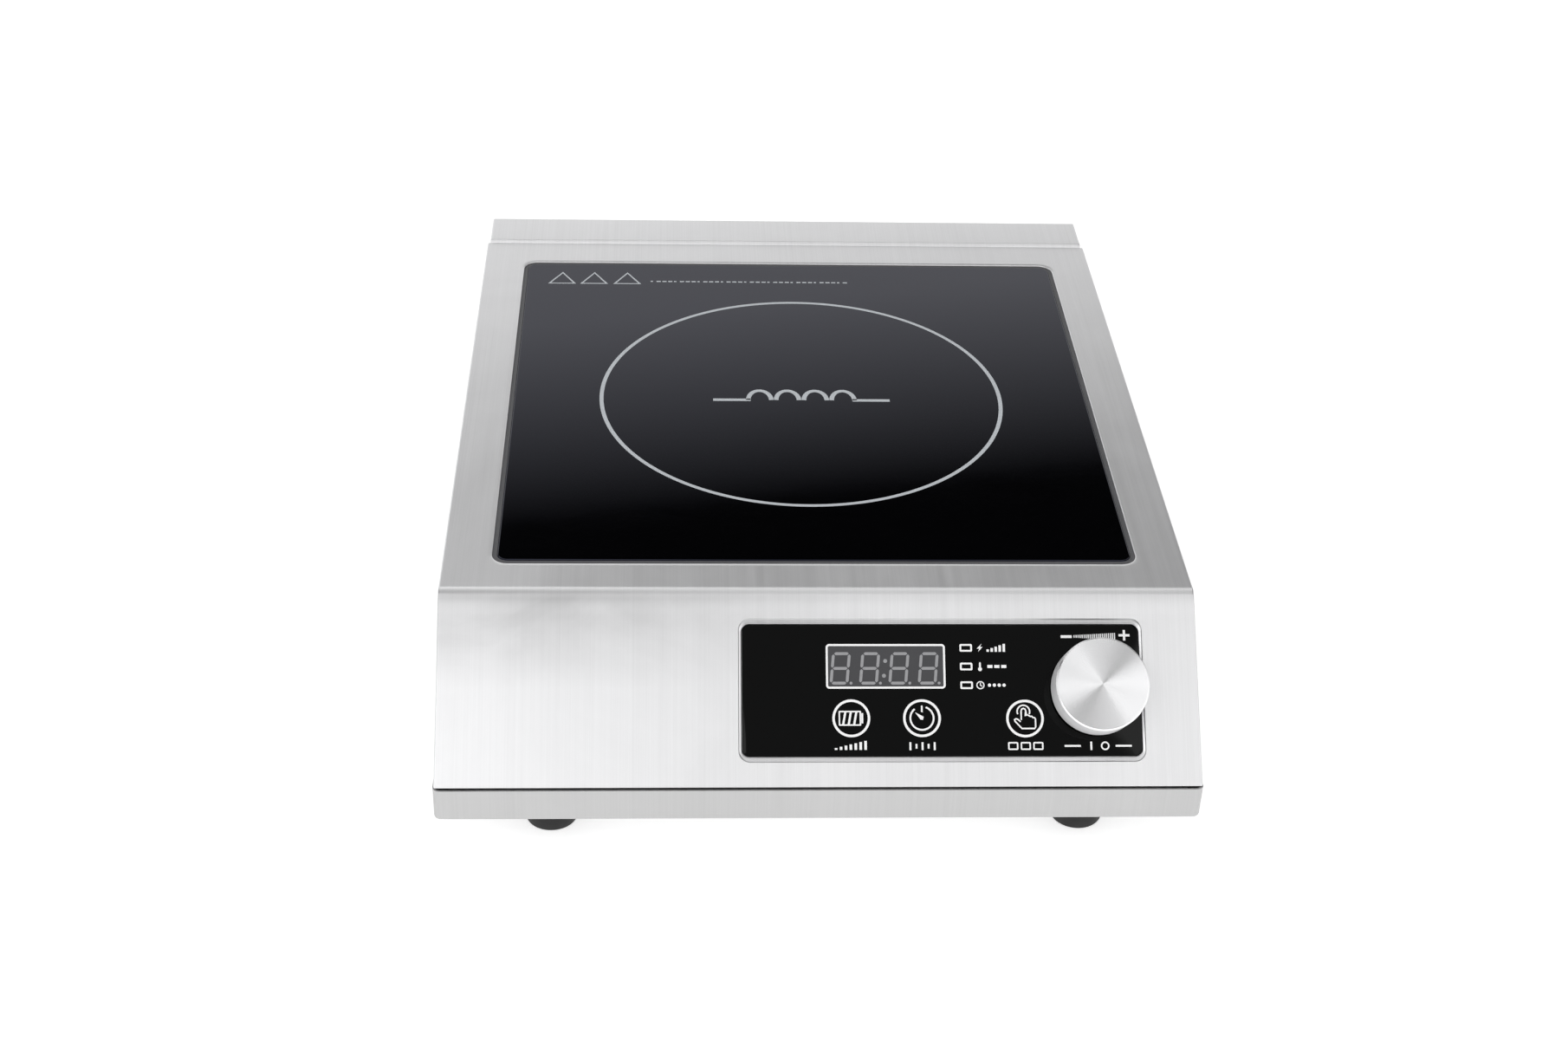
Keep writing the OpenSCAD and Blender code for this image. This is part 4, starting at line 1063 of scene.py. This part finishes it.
def key_symbols(ink):
    """Level, timer and touch pictograms, each in a ring."""
    line = 0.62
    for x, s in KEYS:
        ink.ring(x, s, 8.1, 1.05)
    x, s = KEYS[0]
    ink.frame(x - 0.6, s, 9.6, 6.4, 0.4, line)
    ink.bar(x + 4.3, s - 2.2, x + 5.1, s + 2.2)
    for i in range(3):
        left = x - 4.0 + 2.35 * i
        ink.area([(left + 1.1, s - 3.0), (left + 2.0, s - 3.0), (left + 0.9, s + 3.0), (left, s + 3.0)])
    x, s = KEYS[1]
    ink.arc(x, s, 5.0, 20, 322, 0.75, 40)
    ink.stroke([(x, s - 5.4), (x, s - 2.6)], 0.7)
    ink.area([(x - 3.0, s - 2.6), (x + 0.75, s - 0.6), (x + 0.35, s + 0.75), (x - 0.65, s + 0.55)])
    hand(ink, *KEYS[2])


def hand(ink, x, s):
    """A hand with one finger on a key."""
    line = 0.6
    outline = [(-1.6, 0.6), (-1.6, -3.4), (-1.25, -4.1), (-0.6, -4.35), (0.05, -4.1), (0.4, -3.4),
               (0.4, -1.2), (1.1, -1.6), (1.8, -1.2), (2.3, -0.9), (3.0, -0.9), (3.5, -0.4), (4.2, -0.3),
               (4.5, 0.3), (4.5, 3.6), (4.1, 4.3), (-1.4, 4.3), (-4.3, 1.2), (-4.5, 0.5), (-3.9, 0.1),
               (-3.2, 0.3), (-1.9, 1.4)]
    ink.stroke(shifted(outline, x, s), line)
    ink.arc(x - 0.6, s - 3.0, 2.7, -115, 115, line, 20)


def indicator_symbols(ink):
    """Power, temperature and time pictograms beside the indicators, each with a plain mark after it."""
    x = 69.0
    s = LED_S[0]
    ink.area([(x + 0.9, s - 1.8), (x - 1.2, s + 0.35), (x - 0.1, s + 0.35), (x - 0.7, s + 1.8),
              (x + 1.3, s - 0.4), (x + 0.2, s - 0.4)])
    s = LED_S[1]
    ink.disc(x, s + 1.15, 0.85)
    ink.area([(x - 0.38, s + 0.8), (x - 0.38, s - 1.6), (x, s - 1.9), (x + 0.38, s - 1.6),
              (x + 0.38, s + 0.8)])
    s = LED_S[2]
    ink.ring(x, s, 1.75, 0.45, 32)
    ink.stroke([(x, s - 1.1), (x, s + 0.1), (x + 0.8, s + 0.5)], 0.4)
    for i in range(5):
        left, tall, foot = x + 3.0 + 1.75 * i, 1.0 + 0.6 * i, LED_S[0] + 1.7
        ink.bar(left, foot - tall, left + 1.05, foot)
    for i in range(3):
        ink.stroke([(x + 3.2 + 3.0 * i, LED_S[1]), (x + 5.4 + 3.0 * i, LED_S[1])], 1.3)
    for i in range(4):
        ink.disc(x + 3.9 + 2.1 * i, LED_S[2], 0.72)


def knob_scale(ink):
    """The scale above the knob: minus, a rising wedge of fine lines, plus."""
    top = 19.9
    ink.stroke([(104.4, top + 0.4), (109.2, top + 0.4)], 1.15)
    ink.stroke([(129.6, top - 0.2), (134.4, top - 0.2)], 1.0)
    ink.bar(131.5, top - 2.5, 132.5, top - 0.68)
    ink.bar(131.5, top + 0.28, 132.5, top + 2.1)
    lines = 21
    for i in range(lines):
        left = 110.0 + 0.88 * i
        half = 0.55 + 0.95 * i / (lines - 1)
        ink.bar(left, top + 0.3 - half, left + 0.45, top + 0.3 + half)


def key_marks(ink):
    """Plain marks below each key and the knob: a rising scale, short and long strokes, three frames,
    and a stroke and a circle between two dashes."""
    s = 67.6
    x = KEYS[0][0]
    for i in range(7):
        tall = 0.8 + 0.5 * i
        left = x - 7.2 + 2.1 * i
        ink.bar(left, s + 1.5 - tall, left + 1.1, s + 1.5)
    x = KEYS[1][0]
    for i in range(5):
        half = 1.7 if i % 2 == 0 else 1.0
        left = x - 5.6 + 2.6 * i
        ink.bar(left, s - half, left + 0.8, s + half)
    x = KEYS[2][0]
    for i in (-1, 0, 1):
        ink.frame(x + 5.4 * i, s, 4.4, 3.4, 0.6, 0.62)
    ink.ring(knob_x + 3.0, s, 1.85, 0.62, 32)
    ink.bar(knob_x - 3.4, s - 1.8, knob_x - 2.6, s + 1.8)
    for side in (-1, 1):
        ink.stroke([(knob_x + side * 7.5, s), (knob_x + side * 14.5, s)], 0.8)


def make_fascia_print():
    ink = panel_print()
    ink.frame(DISPLAY_X, DISPLAY_S, 51.4, 19.3, 1.5, 0.85)
    for s in LED_S:
        ink.frame(LED_X, s, 5.4, 3.3, 0.6, 0.75)
    key_symbols(ink)
    indicator_symbols(ink)
    knob_scale(ink)
    key_marks(ink)
    ink.finish("fascia_print", ink_white_painted_glow, "led_plastic")


def make_glass_print():
    ink = deck_print()
    ink.ring(0, coil_y, RING_R + 0.95, 1.95, 256)
    # a plain coil sign in the middle of the zone
    loops, pitch, r, line, sign_y = 4, 13.6, 5.6, 2.3, coil_y - 3
    for i in range(loops):
        centre = (i - (loops - 1) / 2) * pitch
        points = [(centre + r * math.cos(math.radians(a)), sign_y + 1.6 * r * math.sin(math.radians(a)))
                  for a in range(180, -1, -12)]
        ink.stroke(points, line)
    reach = (loops / 2) * pitch
    for side in (-1, 1):
        ink.stroke([(side * (reach - 2.3), sign_y), (side * (reach + 16), sign_y)], line)
    # three plain triangles and a rule at the back edge
    base = bend_y + 281.7
    for x in (-121.3, -104.4, -86.9):
        outer = [(x - 7.4, base), (x + 7.4, base), (x, base + 13.3)]
        inner = [(x - 5.9, base + 0.85), (x + 5.9, base + 0.85), (x, base + 11.7)]
        ink.area(outer, [inner])
    for i in range(34):
        left = -74.5 + 3.1 * i
        ink.bar(left, base + 2.6, left + (2.2 if i % 4 else 1.2), base + 3.8)
    ink.finish("glass_print", ink_grey, "ceramic_white")


# ---- knob


def make_knob():
    """Turned aluminium cap, built round its own axis and stood on the panel."""
    r, top = 20.0, 16.0
    low, wall, face = 1.3, 1.6, 1.5
    outline = [(0, top), (r - 1.1, top), (r - 0.62, top - 0.02), (r - 0.12, top - 0.55), (r, top - 0.72),
               (r, low + 0.35), (r - 0.1, low + 0.1), (r - 0.35, low), (r - wall + 0.2, low),
               (r - wall, low + 0.2), (r - wall, top - face), (0, top - face)]
    shell = Shell()
    shell.lathe(outline, 160)
    across = Vector((1, 0, 0))
    turn = Matrix((across, panel_normal.cross(across), panel_normal)).transposed().to_4x4()
    spot = Matrix.Translation(on_panel(knob_x, knob_s) * MM) @ turn
    cap = shell.object("knob_turned_cap", knob_metal, sharp=28, matrix=spot)
    cap.data.materials.append(knob_side)
    for polygon in cap.data.polygons:
        polygon.material_index = int(abs(polygon.normal.z) < 0.2)
    keep_flat(cap)
    place(cap, "knob", "turned_aluminium", "knob_cap")


make_cover()
make_hood()
make_tray()
make_glass()
make_seal()
make_feet()
make_fascia()
make_display()
make_fascia_print()
make_glass_print()
make_knob()

# ---- stage and light


def quad(name, corners, material):
    """A single face that belongs to the stage."""
    mesh = bpy.data.meshes.new(name)
    mesh.from_pydata(corners, [], [(0, 1, 2, 3)])
    mesh.materials.append(material)
    obj = add(name, mesh)
    return obj


def make_floor():
    size = 6.0
    m = Surface("floor_white", (0.95,) * 3, 0.9)
    m.tint(m.noise(3.0), 0.995, 1.005)
    m.glow(0.6)
    quad("floor", [(-size, -size, 0), (size, -size, 0), (size, size, 0), (-size, size, 0)], m.material)


def soft_light(name, location, target, size, radiance):
    """A rectangular softbox whose face shines with the given radiance, unseen by the camera."""
    data = bpy.data.lights.new(name, "AREA")
    data.shape = "RECTANGLE"
    data.size, data.size_y = size
    data.energy = radiance * math.pi * size[0] * size[1]
    light = add(name, data)
    light.location = location
    light.rotation_euler = (Vector(target) - Vector(location)).to_track_quat("-Z", "Y").to_euler()
    light.visible_camera = False


def back_card(y, half_w, low, fade_from, fade_to, tilt, radiance):
    """A glowing card behind the object, fading out towards its top edge, which slopes down to the right."""
    m = Surface("card_glow", (0, 0, 0), 1.0)
    x, _, z = m.split(m.coords)
    height = m.math("ADD", z, m.math("MULTIPLY", x, tilt))
    fade = m.remap(height, fade_from, fade_to, radiance, 0.0)
    dimming = m.remap(x, -0.3, 0.6, 1.0, 0.97)
    m.glow(0.0)
    m.links.new(m.math("MULTIPLY", fade, dimming), m.shader.inputs["Emission Strength"])
    high = fade_to + tilt * half_w
    corners = [(-half_w, y, low), (half_w, y, low), (half_w, y, high), (-half_w, y, high)]
    quad("back_card", corners, m.material).visible_camera = False


def make_world(horizon, zenith):
    """A pale band round the horizon, fading from fade_low up to the dim sky above fade_high degrees."""
    fade_low, fade_high = 10, 25
    world = bpy.data.worlds.new("studio")
    world.use_nodes = True
    nodes, links = world.node_tree.nodes, world.node_tree.links
    split = nodes.new("ShaderNodeSeparateXYZ")
    links.new(nodes.new("ShaderNodeTexCoord").outputs["Generated"], split.inputs["Vector"])
    fade = map_range(nodes, links, split.outputs["Z"], math.sin(math.radians(fade_low)),
                     math.sin(math.radians(fade_high)), horizon, zenith)
    links.new(fade, nodes["Background"].inputs["Strength"])
    nodes["Background"].inputs["Color"].default_value = (1, 1, 1, 1)
    bpy.context.scene.world = world


# everything from here on is in metres
make_floor()
make_world(horizon=0.7, zenith=0.015)
back_card(y=1.75, half_w=2.4, low=0.02, fade_from=0.98, fade_to=1.29, tilt=0.12, radiance=0.9)
soft_light("back_high_left", (-0.95, 1.2, 1.9), (0, 0, 0.1), (1.9, 1.0), 1.2)
soft_light("back_high_right", (1.0, 1.2, 1.9), (0, 0, 0.1), (1.7, 1.0), 0.6)
soft_light("top_box", (0.2, 0.0, 2.3), (0, 0, 0), (2.6, 1.5), 0.85)
soft_light("front_left", (-0.95, -1.3, 1.26), (0, -0.18, 0.06), (1.6, 1.3), 1.6)
soft_light("front_right", (1.25, -1.3, 1.34), (0, -0.18, 0.06), (1.3, 1.3), 1.34)
soft_light("front_gap", (0.22, -1.45, 1.5), (0, -0.18, 0.06), (0.8, 1.3), 0.48)
soft_light("left_box", (-2.0, -0.1, 0.8), (0, 0, 0.05), (1.6, 1.2), 0.45)
soft_light("right_box", (2.0, -0.1, 0.8), (0, 0, 0.05), (1.6, 1.2), 0.4)
bpy.context.scene.view_settings.view_transform = "Standard"
